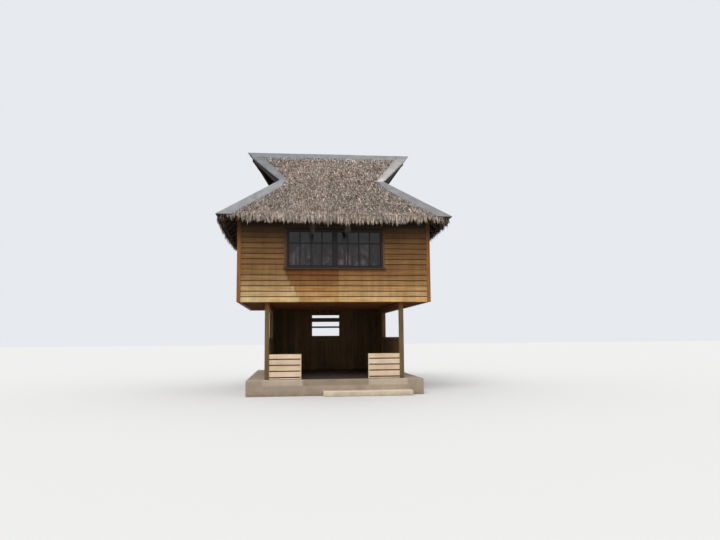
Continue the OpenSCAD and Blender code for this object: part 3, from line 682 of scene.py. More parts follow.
# The eave's hanging edge, and the caps whose wings cover the thatch.
EAVE_OUT, EDGE_OUT, EDGE_HIGH, EDGE_LOW, EDGE_HALF = 2.95, 3.12, 4.774, 4.534, 2.86
RIDGE_WING, HIP_WING, HIP_TAPER, RAKE_WING, RAKE_FOOT_WING = 0.26, 0.42, 0.4, 0.33, 0.19
GABLE_FOOT, RAKE_LEAN = 1.5, 0.842 / 1.175
# How much tufts and single strips differ in brightness and hue, and how much paler the eave's strips are
# painted, as painted light on the hanging edge.
TUFT_SPREAD, STRIP_SPREAD, HUE_SPREAD, EAVE_PAINTED_LIGHT = 0.42, 0.32, 0.05, 1.06
# The eave's ragged lower edge: how wide its teeth are, how much their tips differ, how steeply and how high
# the gaps between them rise, and how much of the way the strips gather towards a tooth's middle.
TOOTH_WIDE, TIP_SPREAD, GAP_STEEP, GAP_HIGH, GATHER = (0.05, 0.14), 0.034, (0.9, 2.2), 0.17, 0.8
# How far inside a cap's edge a stray strip may start on top of it, how far one may reach over a cap, and how
# close to a cap the strips begin to be pressed down.
STRAY, REACH_OVER, PRESSED = 0.04, 0.17, 0.06
# Strips of each kind of face: how many to a square metre and to a tuft, their lengths and widths, and how far
# those on top may hang past its lower edge.
TOP_STRIPS = (2500, 5, (0.13, 0.27), (0.009, 0.016), 0.026)
EDGE_STRIPS, BEHIND_STRIPS = (3600, 5, (0.10, 0.2), (0.009, 0.018)), (900, 5, (0.10, 0.2), (0.009, 0.018))
FOOT_STRIPS, UNDER_STRIPS = (3000, 6, (0.03, 0.07), (0.009, 0.016)), (520, 5, (0.12, 0.24), (0.012, 0.022))
# Strips that hang over the eave, to a metre and to a tuft, and the pieces that each is bent into.
EAVE_DENSITY, EAVE_TUFT, EAVE_BENDS = 760, 5, 5
# Long loose clumps that hang from the front eave: place along it, length and strips, and where they start.
LOOSE_CLUMPS, CLUMP_OUT, CLUMP_HIGH = ((-0.62, 0.46, 34), (0.30, 0.42, 44)), 3.105, 4.60


def rake_wing(y):
    """Width of a gable-edge cap at a distance from the ridge: wide at the top, narrow at its foot."""
    return RAKE_FOOT_WING + (RAKE_WING - RAKE_FOOT_WING) * (GABLE_FOOT - y) / (GABLE_FOOT - RIDGE_WING)


def hip_wing(out):
    """Width of a hip cap's wings at a distance from the house's middle: narrower at its upper end."""
    return RAKE_FOOT_WING + (HIP_WING - RAKE_FOOT_WING) * np.clip((out - GABLE_FOOT) / HIP_TAPER, 0, 1)


def rake_cover(points):
    """How far points of the front and rear slopes lie inside the gable-edge caps."""
    x, y = np.abs(points[:, 0]), np.abs(points[:, 1])
    return np.where(y < GABLE_FOOT, x - (GABLE_FOOT + (GABLE_FOOT - y) * RAKE_LEAN - rake_wing(y)), -1)


def cover_depth(points, gabled):
    """How far points of the slopes lie inside the hip caps, or the ridge cap too."""
    x, y = np.abs(points[:, 0]), np.abs(points[:, 1])
    inner, outer = np.minimum(x, y), np.maximum(x, y)
    depth = np.where(outer > GABLE_FOOT, inner - (outer - hip_wing(outer)), -1)
    return np.maximum(depth, RIDGE_WING - y) if gabled else depth


def cover_share(points, gabled):
    """1 where a metal cap lies over the thatch, 0 well clear of it, for points of the slopes."""
    depth = cover_depth(points, gabled)
    depth = np.maximum(depth, rake_cover(points)) if gabled else depth
    return ((depth + PRESSED) / PRESSED).clip(0, 1)


def fringe_low(place):
    """The level that the eave strips hang to: lowest along a side's middle, higher towards its corners."""
    return EDGE_LOW - 0.094 + 0.15 * (place / EDGE_HALF) ** 2


def unit(vectors):
    return vectors / np.linalg.norm(vectors, axis=-1, keepdims=True)


def inside(points, corners, normal):
    """Which points lie over one of a plane's triangles."""
    keep = np.delete(np.arange(3), np.argmax(np.abs(normal)))
    p, found = points[:, keep], np.zeros(len(points), bool)
    for triangle in corners[:, :, keep]:
        cross = [
            (q[0] - o[0]) * (p[:, 1] - o[1]) - (q[1] - o[1]) * (p[:, 0] - o[0])
            for o, q in zip(triangle, np.roll(triangle, -1, 0))
        ]
        found |= (np.minimum.reduce(cross) >= 0) | (np.maximum.reduce(cross) <= 0)
    return found


def ragged(rng):
    """A toothed line along an eave, to which the strips hang."""
    wide = rng.uniform(*TOOTH_WIDE, 110)
    tips = wide.cumsum() - EDGE_HALF - 0.3
    ends = rng.normal(0, TIP_SPREAD, len(tips)).clip(-0.06, 0.08)
    gaps = (wide * rng.uniform(*GAP_STEEP, len(tips))).clip(0, GAP_HIGH)

    def gathered(place, share):
        """Where strips end that gather towards their tooth's middle by a share, and at which level."""
        own = np.abs(place[:, None] - tips).argmin(1)
        place = place + share * (tips[own] - place) + rng.normal(0, 0.006, len(place))
        apart = (np.abs(place - tips[own]) / wide[own] * 2).clip(0, 1)
        level = fringe_low(place) + ends[own] + gaps[own] * apart ** 0.7
        return place, level + rng.normal(0, 0.01, len(place))

    return gathered


def ribbons(rng, line, flat, length, width, tints):
    """Tapered leaf strips along lines of points, each flat across its own direction."""
    count, segments = len(line), line.shape[1] - 1
    wide = width[:, None] * np.array([0.75, *np.linspace(1.0, 0.6, segments - 1)])
    shift = flat[:, None] * wide[..., None] / 2
    rows = np.stack([line[:, :-1] - shift, line[:, :-1] + shift], 2).reshape(count, -1, 3)
    verts = np.concatenate([rows, line[:, -1:]], 1)
    each = verts.shape[1]
    first = (np.arange(count) * each)[:, None, None]
    quads = first + [(2 * k, 2 * k + 1, 2 * k + 3, 2 * k + 2) for k in range(segments - 1)]
    ramp = np.append(np.repeat(np.arange(segments) / segments, 2), 1.0)
    grain = np.zeros(verts.shape)
    grain[..., 0] = ramp * length[:, None]
    grain[..., 1] = width[:, None] * np.array([-0.5, 0.5] * segments + [0.0])
    grain += rng.uniform(0, 40, (count, 1, 3))
    tris = (first + np.arange(each - 3, each)).reshape(-1, 3)
    flats = verts.reshape(-1, 3), quads.reshape(-1, 4), tris, grain.reshape(-1, 3)
    return *flats, np.repeat(tints, each, 0), np.tile(ramp, count)


def strips(rng, tufts, outs, lift, droop, segments, roll=0.5):
    """Leaf strips that start at their roots, follow their falls, rise to lift and bend down by droop."""
    steps = np.linspace(0, 1, segments + 1)[:, None]
    turn = rng.normal(0, roll, (len(tufts.roots), 1))
    outs = np.broadcast_to(outs, tufts.roots.shape)
    line = tufts.roots[:, None] + tufts.falls[:, None] * (tufts.length[:, None, None] * steps)
    line = line + outs[:, None] * (lift[:, None, None] * steps ** 0.6)
    line[..., 2] -= np.reshape(droop, (-1, 1)) * steps[:, 0] ** 2
    flat = np.cross(tufts.falls, outs) * np.cos(turn) + outs * np.sin(turn)
    return ribbons(rng, line, flat, tufts.length, tufts.width, tufts.tints)


def tuft_tints(rng, centres, each):
    """A tint for each strip: tufts differ from their neighbours, strips a little within a tuft."""
    waves = np.array([noise.noise(Vector(c) * 1.3) + 0.6 * noise.noise(Vector(c) * 4.1) for c in centres])
    tuft = np.exp(0.12 * waves + rng.normal(0, TUFT_SPREAD, len(centres)))[:, None]
    hue = rng.normal(0, HUE_SPREAD, (len(centres), 1))
    tuft = np.repeat(tuft * np.hstack([1 + 0.4 * hue, 1 + 0 * hue, 1 - hue]), each, 0)
    return (tuft * np.exp(rng.normal(-0.03, STRIP_SPREAD, (len(tuft), 1)))).clip(0.05, 2.4)


def eave_strips(rng, side, teeth):
    """Long strips that follow the slope, bend over the eave and hang down to ragged tips.

    They are laid out along the side, up and outward."""
    tufts = int(2 * EDGE_HALF * EAVE_DENSITY / EAVE_TUFT)
    middles = rng.uniform(-EDGE_HALF - 0.06, EDGE_HALF + 0.06, tufts)
    centres = np.outer(middles, FACING[side][0]) + EDGE_OUT * FACING[side][2]
    # The eave's strips are painted paler: painted light on the hanging edge.
    tints = tuft_tints(rng, centres, EAVE_TUFT) * EAVE_PAINTED_LIGHT
    total = len(tints)
    place = np.repeat(middles, EAVE_TUFT) + rng.normal(0, 0.012, total)
    cut = (np.abs(place) - EDGE_HALF).clip(0)
    back = (np.repeat(rng.uniform(0.03, 0.3, tufts), EAVE_TUFT) + rng.normal(0, 0.03, total)).clip(0.02)
    back = np.minimum(back, ((EDGE_OUT - cut - np.abs(place)) / math.cos(SLOPE) - 0.03).clip(0.02))[:, None]
    reached = np.repeat(rng.uniform(0.05, 1.0, tufts), EAVE_TUFT)
    end_place, tip = teeth(place, GATHER * reached)
    tip = tip - 0.05 * (rng.random(total) < 0.04)
    length = back[:, 0] + (EDGE_HIGH - tip) * np.sqrt(reached)
    piece, order = length[:, None] / EAVE_BENDS, np.arange(EAVE_BENDS)
    bent = (((order + 0.5) * piece - back + 0.06) / 0.13).clip(0, 1)
    end = rng.normal(math.radians(85), 0.05, (total, 1))
    angle = SLOPE + (end - SLOPE) * bent * bent * (3 - 2 * bent)
    sway = (end_place - place)[:, None] * order ** 2 / (order ** 2).sum()
    sway = sway + ((1 - reached) * rng.normal(0, 0.11, total))[:, None] * piece
    steps = np.stack([sway, -np.sin(angle) * piece, np.cos(angle) * piece], 2)
    slope, normal = (np.array([0, x, y]) for x, y in (
        (-math.sin(SLOPE), math.cos(SLOPE)), (math.cos(SLOPE), math.sin(SLOPE))))
    start = np.stack([place, EDGE_HIGH + cut * RISE, EDGE_OUT - cut], 1) - slope * back - normal * ROOT_DEEP
    line = start[:, None] + np.concatenate([np.zeros((total, 1, 3)), steps.cumsum(1)], 1)
    risen = (np.arange(EAVE_BENDS + 1) * piece / back).clip(0, 1)
    high = np.where(np.abs(place) > EDGE_OUT - HIP_WING - 0.03, -0.004, rng.uniform(0, 0.012, total))
    line += normal * (risen * (ROOT_DEEP + high)[:, None])[..., None]
    turn = rng.normal(0, 0.5, (total, 1))
    flat = (1, 0, 0) * np.cos(turn) + normal * np.sin(turn)
    width = rng.uniform(0.009, 0.017, total)
    return ribbons(rng, line @ FACING[side], flat @ FACING[side], length, width, tints)


def thatch_planes(node):
    """The node's flat faces, each as its normal and triangles."""
    solid = cad_solid(node)
    bmesh.ops.triangulate(solid, faces=solid.faces)
    planes = []
    for face in solid.faces:
        normal, corners = np.array(face.normal), np.array([v.co[:] for v in face.verts])
        for known, group in planes:
            if known @ normal > 0.999 and abs(known @ (corners[0] - group[0][0])) < 1e-3:
                group.append(corners)
                break
        else:
            planes.append((normal, [corners]))
    solid.free()
    return [(normal, np.array(group)) for normal, group in planes]


def plane_area(corners):
    a, b, c = corners.swapaxes(0, 1)
    return np.linalg.norm(np.cross(b - a, c - a), axis=1).sum() / 2


def scatter(rng, normal, corners, count):
    """Points over a plane's triangles, one at random in each cell of an even grid."""
    first = unit(corners[0, 1] - corners[0, 0])
    axes = np.array([first, np.cross(normal, first)])
    flat = (corners - corners[0, 0]) @ axes.T
    cell = math.sqrt(plane_area(corners) / count)
    ranges = (np.arange(low, high, cell) for low, high in zip(flat.min((0, 1)), flat.max((0, 1))))
    cells = np.stack(np.meshgrid(*ranges, indexing="ij"), 2).reshape(-1, 2)
    spots = (cells + cell * rng.random(cells.shape)) @ axes + corners[0, 0]
    return spots[inside(spots, corners, normal)]


def face_strips(rng, normal, corners, density, per_tuft, length, width, overhang=0.0):
    """The strips over one plane of a thatch solid."""
    down = np.array([0, 0, -1.0])
    fall = down - normal * (down @ normal)
    level = np.linalg.norm(fall) < 0.2
    fall = down if level else unit(fall)
    centres = scatter(rng, normal, corners, max(1, int(plane_area(corners) * density / per_tuft)))
    tints = tuft_tints(rng, centres, per_tuft)
    side = unit(np.cross(normal, (1.0, 0, 0) if level else fall))
    count, total = len(centres), len(tints)
    roots = np.repeat(centres, per_tuft, 0) + side * rng.normal(0, 0.008, (total, 1))
    roots = roots + np.cross(side, normal) * rng.normal(0, 0.036, (total, 1))
    yaw = np.repeat(rng.normal(0, 0.11, count), per_tuft) + rng.normal(0, 0.09, total)
    falls = fall * np.cos(yaw)[:, None] + side * np.sin(yaw)[:, None]
    stretch = np.repeat(rng.uniform(*length, count), per_tuft) * rng.uniform(0.7, 1.2, total)
    wide = rng.uniform(*width, total)
    rise = np.repeat(rng.normal(0, 0.005, count).clip(-0.009, 0.009), per_tuft) + rng.normal(0, 0.001, total)
    keep = inside(roots, corners, normal)
    if not level:
        for shrink in (0.6, 0.6, 1):
            fits = inside(roots + falls * stretch[:, None] - fall * overhang, corners, normal)
            stretch = np.where(fits, stretch, stretch * shrink)
        keep &= fits
    values = {"roots": roots, "falls": falls, "length": stretch, "width": wide, "tints": tints, "rise": rise}
    return SimpleNamespace(**{key: value[keep] for key, value in values.items()})


def thatch_core(name, node, material):
    """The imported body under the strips: the solid drawn in a little, with a lumpy surface."""
    solid = cad_solid(node)
    moves = {}
    for vert in solid.verts:
        normals, depths = [], []
        for face in vert.link_faces:
            x, y, _ = face.calc_center_median()
            edge = -0.016 if max(abs(x), abs(y)) > EAVE_OUT else 0
            normals.append(face.normal[:])
            depths.append(-CORE_DEEP if face.normal.z > 0.5 else -0.008 if face.normal.z < -0.5 else edge)
        moves[vert] = Vector(np.linalg.lstsq(np.array(normals), np.array(depths), rcond=None)[0])
    for vert, move in moves.items():
        vert.co += move
    bmesh.ops.triangulate(solid, faces=solid.faces)
    refine(solid, 0.16, True)
    solid.normal_update()
    for vert in solid.verts:
        vert.co += vert.normal * (0.007 * noise.noise(vert.co * 6.0) - 0.002)
        inner, outer = sorted((abs(vert.co.x), abs(vert.co.y)))
        if outer > EAVE_OUT:
            vert.co.z = max(vert.co.z, fringe_low(inner) + GAP_HIGH)
    # Painted shade: the core's sides and underside are much darker than its top.
    tints = [CORE_TINT if vert.normal.z > 0.5 else UNDER_PAINTED_SHADE for vert in solid.verts]
    mesh = to_mesh(solid, name)
    give(mesh, "tint", tints)
    give(mesh, "wear_and_root_shade", np.full(len(tints), 0.6))
    place_piece(name, mesh, material, node)


def top_strips(rng, normal, corners, gabled):
    """Strips on top of a slope: pressed down near the caps, save a few that lie over a cap's edge."""
    tufts = face_strips(rng, normal, corners, *TOP_STRIPS)
    tips = tufts.roots + tufts.falls * tufts.length[:, None]
    lift = ROOT_DEEP + tufts.rise + TIP_HIGH * (1 - 2.6 * cover_share(tips, gabled))
    depth, hem = cover_depth(tufts.roots, gabled), rake_cover(tufts.roots)
    if gabled:
        past = rake_cover(tips)
        over = (hem < -0.02) & (past > -0.03) & (past < rng.uniform(0.0, REACH_OVER, len(past)))
        lift[over] = ROOT_DEEP + OVER_CAP
        # Strips lying over a cap are painted darker: painted shade that tones down their open light.
        tufts.tints[over] *= 0.8
    stray = (depth > 0) & (depth < rng.uniform(0, STRAY, len(depth)))
    if gabled:
        stray &= (hem < -0.1) & (np.abs(tufts.roots[:, 1]) > GABLE_FOOT)
    lift[stray] = TIP_HIGH - OVER_CAP
    # Strips near a cap are painted lighter and greyer: painted light that lifts the shadow along the cap's
    # edge.
    tufts.tints *= 1 + cover_share(tufts.roots, gabled)[:, None] * (0.04, 0.12, 0.2)
    tufts.roots -= normal * np.where(stray, -OVER_CAP, ROOT_DEEP)[:, None]
    return strips(rng, tufts, normal, lift, rng.uniform(0, 0.006, len(depth)), 2)


def clump(rng, place, reach, count):
    """A long loose clump of leaves that hangs from the front eave, darkened with painted shade."""
    roots = np.stack([
        place + rng.normal(0, 0.026, count), -CLUMP_OUT + rng.uniform(-0.012, 0.012, count),
        CLUMP_HIGH + rng.uniform(-0.03, 0.06, count)], 1)
    yaw = rng.normal(0, 0.07, count)
    falls = np.stack([np.sin(yaw), 0 * yaw, -np.cos(yaw)], 1)
    length, width = rng.uniform(0.55, 1.05, count) * reach, rng.uniform(0.01, 0.018, count)
    lift = rng.uniform(-0.01, 0.012, count)
    # Painted shade: the clumps hang in the eave's shadow, so their strips are nearly black.
    tints = np.full((count, 3), 0.13) * rng.uniform(0.6, 1.4, (count, 1))
    tufts = SimpleNamespace(roots=roots, falls=falls, length=length, width=width, tints=tints)
    return strips(rng, tufts, (0.0, -1.0, 0.0), lift, 0, 4)


def thatch(side, material, core_material, seed):
    """One slope's thatch: a packed core, strips on every face that shows and a shaggy eave."""
    node, along = side + "_thatch", FACING[side][0]
    rng = np.random.default_rng(seed)
    thatch_core(node + "_core", node, core_material)
    teeth = ragged(rng)
    slope, eave = Batch(), Batch()
    eave.add(*eave_strips(rng, side, teeth))
    for normal, corners in thatch_planes(node):
        middle = corners.reshape(-1, 3).mean(0)
        hanging = abs(normal[2]) < 0.2 and np.abs(middle[:2]).max() > EAVE_OUT
        if plane_area(corners) < (0.04 if hanging else 0.1):
            continue
        if normal[2] > 0.5:
            slope.add(*top_strips(rng, normal, corners, side in ("front", "rear")))
        elif hanging:
            outer = normal @ middle > 0
            tufts = face_strips(rng, normal, corners, *(EDGE_STRIPS if outer else BEHIND_STRIPS))
            roots, low = tufts.roots, teeth(tufts.roots @ along, 0)[1]
            roots[:, 2] = np.maximum(roots[:, 2], low + 0.03)
            tufts.length = np.minimum(tufts.length * 1.4, (roots[:, 2] - low).clip(0.03, 1))
            # Painted light on the eave's outer face, painted shade on the face behind it.
            tufts.roots, tufts.tints = roots - normal * 0.012, tufts.tints * (EAVE_PAINTED_LIGHT if outer else 0.5)
            lift, droop = rng.uniform(0.002, 0.016, len(roots)), rng.uniform(0, 0.01, len(roots))
            eave.add(*strips(rng, tufts, normal, lift, droop, 3 if outer else 2, 0.6))
        elif normal[2] < -0.9:
            tufts = face_strips(rng, normal, corners, *FOOT_STRIPS)
            tufts.roots[:, 2] = np.maximum(tufts.roots[:, 2], fringe_low(tufts.roots @ along) + GAP_HIGH)
            # Painted shade on the eave's flat underside.
            tufts.tints *= 0.7
            eave.add(*strips(rng, tufts, (1.0, 0, 0), rng.normal(0, 0.006, len(tufts.roots)), 0, 2, 1.5))
        elif normal[2] < -0.5:
            tufts = face_strips(rng, normal, corners, *UNDER_STRIPS)
            # Painted shade on the undersides of the slopes.
            tufts.roots, tufts.tints = tufts.roots - normal * 0.009, tufts.tints * 0.2
            slope.add(*strips(rng, tufts, normal, rng.uniform(0.002, 0.008, len(tufts.roots)), 0, 2))
    for place in LOOSE_CLUMPS if side == "front" else ():
        eave.add(*clump(rng, *place))
    slope.piece(node + "_strips", material, node)
    eave.piece(node + "_eave", material, node)


# Sheet-metal caps: thickness, fold, hem and lap, and how far each kind is dented, in metres.
SHEET, FOLD, HEM, LAP = 0.0022, 0.028, 0.009, 0.06
RIDGE_DENT, HIP_DENT, RAKE_DENT = 0.0012, 0.0016, 0.0014
# Where the screws lie: along the ridge in metres, and along each hip and gable edge as shares of its length.
RIDGE_SCREWS = np.arange(-2.2, 2.21, 0.44)
HIP_SCREWS, RAKE_SCREWS = np.linspace(0.08, 0.95, 6), np.linspace(0.1, 0.92, 5)
UP = np.array([0, 0, 1.0])
# How far the ridge cap's tips stand out, where the gable-edge caps start and how far out their foot lies.
RIDGE_TIP, RAKE_START, RAKE_OUT = 0.186, 0.215, 1.512
# Where the ridge's sheets meet, and each hip's sheets by start, end and how much lower they lie.
RIDGE_JOINTS, HIP_SHEETS = (-1, -0.34, 0.31, 1), ((0.52, 1.0, 0.0026), (-0.03, 0.555, 0.0))
# How bright each cap's sheets are, the left and the right ones differently, and how much paler the gable-edge
# caps get towards their foot, a painted highlight.
RIDGE_SHADE = np.array([(0.47, 0.48, 0.49), (0.48, 0.48, 0.48), (0.53, 0.49, 0.46)])
RAKE_SHADE = {-1: (0.38, 0.38, 0.38), 1: (0.74, 0.68, 0.62)}
HIP_SHADE = {-1: (0.56, 0.55, 0.53), 1: (0.52, 0.49, 0.47)}
FOOT_PAINTED_HIGHLIGHT = {-1: 0.25, 1: 0.85}


def sheet(batch, grid, dent, shade, along=1.0):
    """A thin closed sheet under a grid of points, slightly dented, with one tint or one for each row."""
    shift = batch.rng.uniform(0, 50)
    grid = grid.copy()
    for spot in grid.reshape(-1, 3):
        spot[2] -= dent * (1 + noise.noise(Vector((spot[0] * 2.3 + shift, spot[1] * 2.3, spot[2] * 2.3))))
    rows, columns = grid.shape[:2]
    tint = np.broadcast_to(batch.shades(1, 0.03, 0.01)[0] * shade * along, (rows, 3))
    normal = unit(np.cross(np.gradient(grid, axis=0), np.gradient(grid, axis=1)))
    flip = normal[..., 2].mean() < 0
    verts = np.concatenate([grid, grid + normal * (SHEET if flip else -SHEET)]).reshape(-1, 3)
    number = np.arange(rows * columns).reshape(rows, columns)
    faces = np.stack([number[:-1, :-1], number[1:, :-1], number[1:, 1:], number[:-1, 1:]], 2).reshape(-1, 4)
    rim = np.concatenate([number[:, 0], number[-1, 1:], number[-2::-1, -1], number[0, -2:0:-1]])
    after = np.roll(rim, -1)
    walls = np.stack([after, rim, rim + number.size, after + number.size], 1)
    quads = np.concatenate([faces, (faces + number.size)[:, [0, 3, 2, 1]], walls])
    quads = quads[:, ::-1] if flip else quads
    lengths, widths = (
        np.append(0, np.linalg.norm(np.diff(grid, axis=k), axis=2).mean(1 - k).cumsum()) for k in (0, 1))
    grain = np.stack(np.broadcast_arrays(widths, lengths[:, None], 0.0), 2).reshape(-1, 3)
    grain = np.tile(grain, (2, 1)) + batch.rng.uniform(0, 40, 3)
    tint = np.tile(np.repeat(tint, columns, 0), (2, 1))
    batch.add(verts, quads, np.zeros((0, 3), int), grain, tint, np.zeros(len(quads)), np.zeros(0))


def bend(start, middle, end, steps):
    """Points of a round fold from start to end."""
    return [(1 - k) ** 2 * start + 2 * k * (1 - k) * middle + k ** 2 * end for k in steps]


def folded(middle, first, second):
    """Points across a fold: out to both edges, round over the middle, with a small hem at each edge."""
    start, end = (middle + unit(edge - middle) * FOLD for edge in (first, second))
    hems = []
    for edge in (first, second):
        out = unit(edge - middle)
        hems.append([edge - HEM * UP, edge - out * 0.0015 - HEM * 0.25 * UP, edge - out * 0.006])
    wings = [middle + (edge - middle) * 0.55 for edge in (first, second)]
    round_fold = bend(start, middle, end, np.linspace(0, 1, 5))
    return np.stack([*hems[0], wings[0], *round_fold, wings[1], *hems[1][::-1]], 1)


def slope_normal(x, y):
    """The normal of the slope that faces along x or y."""
    return np.array([x * math.sin(SLOPE), y * math.sin(SLOPE), math.cos(SLOPE)])


def screw(batch, at, normal):
    """A domed screw head with its washer."""
    side = unit(np.cross(normal, [1.0, 0.3, 0.2]))
    other = np.cross(normal, side)
    rings, sides = ((0.011, 0.0), (0.011, 0.0018), (0.0065, 0.003), (0.0055, 0.006)), 8
    turn = np.arange(sides) * 2 * np.pi / sides
    verts = [at + normal * h + (side * np.cos(t) + other * np.sin(t)) * r for r, h in rings for t in turn]
    verts.append(at + normal * 0.0072)
    ring = np.stack([np.arange(sides), (np.arange(sides) + 1) % sides], 1)
    quads = np.concatenate([np.hstack([ring + k * sides, ring[:, ::-1] + (k + 1) * sides]) for k in range(3)])
    tris = np.insert(ring + 3 * sides, 2, len(verts) - 1, 1)
    verts, wear_and_root_shade = np.array(verts), np.zeros(len(quads))
    batch.add(verts, quads, tris, verts, np.full(verts.shape, 0.8), wear_and_root_shade, wear_and_root_shade[:sides])


def ridge_sheets(material):
    """The ridge cap: three sheets, the middle one on top, and screws along both edges."""
    batch = Batch(71)
    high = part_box("ridge_cap")[1]
    edge_x, edge_z, inner = high.x - RIDGE_TIP, high.z - RIDGE_WING * RISE, LAP / high.x / 2
    for number, (start, end) in enumerate(pairwise(RIDGE_JOINTS)):
        s = np.linspace(start - inner * (number > 0), end + inner * (number < 2), 15)[:, None]
        lift = -0.001 - 0.0026 * (number != 1)
        sides = [s * (edge_x, 0, 0) + (0, sign * high.y, edge_z + lift) for sign in (-1, 1)]
        grid = folded(s * (high.x, 0, 0) + (0, 0, high.z + lift), *sides)
        sheet(batch, grid, RIDGE_DENT, RIDGE_SHADE[number])
    y = high.y - 0.03
    for x in RIDGE_SCREWS:
        for sign in (-1, 1):
            screw(batch, np.array([x, sign * y, high.z - y * RISE - 0.004]), slope_normal(0, sign))
    batch.piece("ridge_cap_sheets", material, "ridge_cap")


def hip_sheets(material):
    """The hip caps: two sheets on each hip, the upper one on top, with the lower one's foot turned down."""
    batch = Batch(72)
    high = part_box("hip_caps")[1]
    long = high.x - GABLE_FOOT
    for sx, sy in CORNERS:

        def lines(s, drop, inner=0.0):
            """Points of the fold and of both wings' edges, at shares of the hip's length."""
            out, z = GABLE_FOOT + long * s, high.z - long * RISE * s - drop
            edge = out - hip_wing(out) + inner
            return [np.stack([sx * x, sy * y, z], -1) for x, y in ((out, out), (edge, out), (out, edge))]

        for start, end, under in HIP_SHEETS:
            grid = folded(*lines(np.linspace(start, end, 13), 0.004 + under))
            grid = np.concatenate([grid, grid[-1:] - 0.011 * UP]) if under else grid
            sheet(batch, grid, HIP_DENT, HIP_SHADE[sx])
        for s in HIP_SCREWS:
            _, first, second = lines(s, 0.006, 0.045)
            screw(batch, first, slope_normal(0, sy))
            screw(batch, second, slope_normal(sx, 0))
    batch.piece("hip_cap_sheets", material, "hip_caps")


def rake_sheets(material):
    """The gable-edge caps: one sheet on each edge, folded down over it, with screws along its wing."""
    batch = Batch(73)
    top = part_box("rake_caps")[1].z
    for sx, sy in CORNERS:

        def line(y, inner, drop):
            """Points at distances from the ridge, on the fold or further in."""
            x = RAKE_OUT + (GABLE_FOOT - y) * RAKE_LEAN - inner
            return np.stack([sx * x, sy * y, top - drop - (y - RIDGE_WING) * RISE], -1)

        s = np.linspace(0, 1, 17)
        y = RAKE_START + (GABLE_FOOT + 0.03 - RAKE_START) * s
        fold, inner = line(y, 0, 0.0028), line(y, rake_wing(y) + 0.012, 0.0028)
        lip = 0.05 * ((1 - s) / 0.09).clip(0.06, 1)[:, None] * UP
        near, below = fold + unit(inner - fold) * 0.016, fold - np.minimum(lip * 0.45, 0.014)
        # The sheet pales towards its foot: a painted highlight where the fold catches the light.
        sheet(batch, np.stack([
            inner - HEM * UP, inner - HEM * 0.2 * UP, inner + (fold - inner) * 0.02, (inner + fold) / 2,
            near, *bend(near, fold, below, (0.25, 0.5, 0.75)), below, (below + fold - lip) / 2, fold - lip,
        ], 1), RAKE_DENT, RAKE_SHADE[sx], 1 + FOOT_PAINTED_HIGHLIGHT[sx] * s[:, None] ** 2)
        for y in RAKE_START + (GABLE_FOOT - RAKE_START) * RAKE_SCREWS:
            screw(batch, line(y, rake_wing(y) - 0.03, 0.0045), slope_normal(0, sy))
    batch.piece("rake_cap_sheets", material, "rake_caps")


def make_stage():
    """A plain pale floor and dome with one broad soft lamp."""
    s = Shader("floor", {"Roughness": 0.9})
    s.fill(s.surface, {"Base Color": s.mix(s.seen(), FLOOR_LIT, FLOOR_SHOWN)})
    mesh = bpy.data.meshes.new("floor")
    corners = [(x * FLOOR_HALF, y * FLOOR_HALF, 0) for x, y in ((-1, -1), (1, -1), (1, 1), (-1, 1))]
    mesh.from_pydata(corners, [], [(0, 1, 2, 3)])
    mesh.materials.append(s.material)
    linked("floor", mesh)

    world = bpy.data.worlds.new("dome")
    world.use_nodes = True
    n = Nodes(world.node_tree)
    light = n.node("Background", {"Color": (1, 1, 1, 1), "Strength": DOME_POWER})
    shown = world.node_tree.nodes["Background"]
    n.fill(shown, {"Color": SKY_SHOWN, "Strength": 1.0})
    blend = n.node("MixShader", {0: n.seen(), 1: light.outputs[0], 2: shown.outputs[0]})
    n.fill(world.node_tree.nodes["World Output"], {"Surface": blend.outputs[0]})
    bpy.context.scene.world = world

    lamp = linked("lamp", bpy.data.lights.new("lamp", "SUN"))
    lamp.data.energy, lamp.data.angle = LAMP_POWER, LAMP_WIDE
    lamp.rotation_euler = LAMP_TURN
    bpy.context.scene.view_settings.view_transform = "Standard"


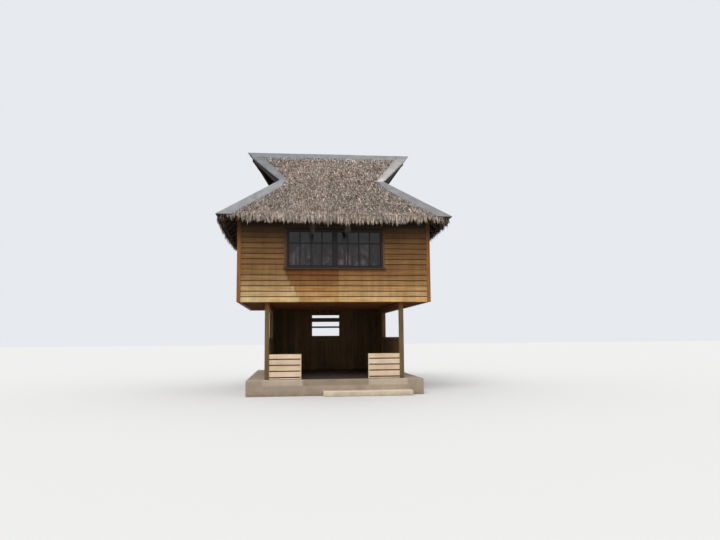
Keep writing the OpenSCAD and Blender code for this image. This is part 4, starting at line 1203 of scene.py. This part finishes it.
def build():
    """Makes every piece of the house."""
    planks = stained("weathered_planks", (196, 144, 80), (150, 100, 48), (220, 190, 138))
    joint = wood("joint_wood", (92, 40, 6), (66, 31, 8), (104, 58, 26))
    trim = wood("trim_boards", (184, 128, 72), (138, 88, 44), (206, 164, 112), eave_painted_shade=0.4)
    pale = wood("pale_boards", (252, 229, 200), (233, 203, 172), (252, 238, 216), depth=0.0015)
    dark = wood("dark_boards", (121, 92, 51), (76, 54, 28), (142, 112, 71))
    posts = wood("post_timber", (130, 106, 68), (92, 71, 43), (160, 136, 98), depth=0.003)
    floor = wood("floor_timber", (144, 86, 36), (90, 51, 21), (156, 106, 56))
    roof = wood("roof_timber", (88, 68, 48), (56, 40, 28), (110, 88, 66))
    satin = {"rough": (0.5, 0.75), "depth": 0.001, "eave_painted_shade": 0.5}
    bars = wood("window_wood", (30, 22, 20), (18, 13, 12), (54, 42, 35), **satin)
    sill = wood("sill_wood", (78, 50, 30), (56, 34, 20), (100, 70, 46))
    slab = concrete("cement_slab", (186, 169, 149), (148, 132, 114), (118, 98, 76), paint=slab_paint)
    step = concrete("cement_step", (236, 221, 197), (206, 188, 164), (150, 128, 104))
    leaf = thatch_material("dry_leaf", (172, 159, 148), (131, 116, 104), (76, 65, 56), (212, 202, 190))
    core = thatch_material("packed_leaf", (104, 92, 80), (76, 66, 56), (76, 66, 56), (104, 92, 80))
    metal = sheet_metal("cap_sheet", (196, 200, 208), (168, 169, 172), (140, 132, 122))

    worn_block("slab_block", "floor_slab", slab)
    worn_block("step_block", "front_step", step, cell=0.07, edge=0.02, seed=9.0)
    # Each row is a piece, its node, its wood, its eased edge, how much its sticks differ and at times a hue.
    for seed, row in enumerate((
        ("posts", "ground_posts", posts, 0.008, 0.08),
        ("low_wall_rail_pair", "low_wall_rails", posts, 0.006, 0.06, (0.8, 0.68, 0.6)),
        ("rear_window_boards", "ground_rear_window", dark, 0.004, 0.06),
        ("girders", "floor_girders", floor, 0.006, 0.06),
        ("joists", "floor_joists", floor, 0.004, 0.12),
        ("corner_trim", "corner_boards", trim, 0.004, 0.06, (0.74, 0.66, 0.58)),
        ("casings", "window_casings", trim, 0.003, 0.06, (0.42, 0.36, 0.31)),
        ("sills", "window_sills", sill, 0.005, 0.05),
        ("plates", "wall_plates", roof, 0.004, 0.06),
        ("ties", "tie_beams", roof, 0.005, 0.08),
        ("kings", "king_posts", roof, 0.005, 0.08),
        ("ridge_timber", "ridge_beam", roof, 0.005, 0.05),
        ("hip_timbers", "hip_rafters", roof, 0.004, 0.08),
        # The gable-edge rafters' dark bluish hue is painted shade, for the deep shadow under the gable's
        # edge.
        ("rake_timbers", "rake_rafters", roof, 0.004, 0.08, (0.26, 0.28, 0.34)),
        *((side + "_rafter_set", side + "_rafters", roof, 0.004, 0.12) for side in SIDES),
    ), 11):
        timber(seed, *row)
    timber(30, "batten_rows", "thatch_battens", roof, 0.003, 0.14)
    gable = cut_into_boards(cad_solid("gable_walls"), np.linspace(-GABLE_FOOT, GABLE_FOOT, 23), 0.003)
    timber(31, "gable_boards", "gable_walls", dark, 0.0025, 0.13, solid=gable)
    for number, side in enumerate(SIDES):
        plank_wall(side, planks, joint, 40 + number)
        window(side, bars, 45 + number)
    ground_boards(dark, pale, joint)
    floor_boards(floor)
    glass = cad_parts["window_glass"]
    glass.data.materials.clear()
    glass.data.materials.append(glass_material("window_glass"))
    for number, side in enumerate(SIDES):
        thatch(side, leaf, core, 80 + number)
    ridge_sheets(metal)
    hip_sheets(metal)
    rake_sheets(metal)


make_camera()
make_stage()
build()
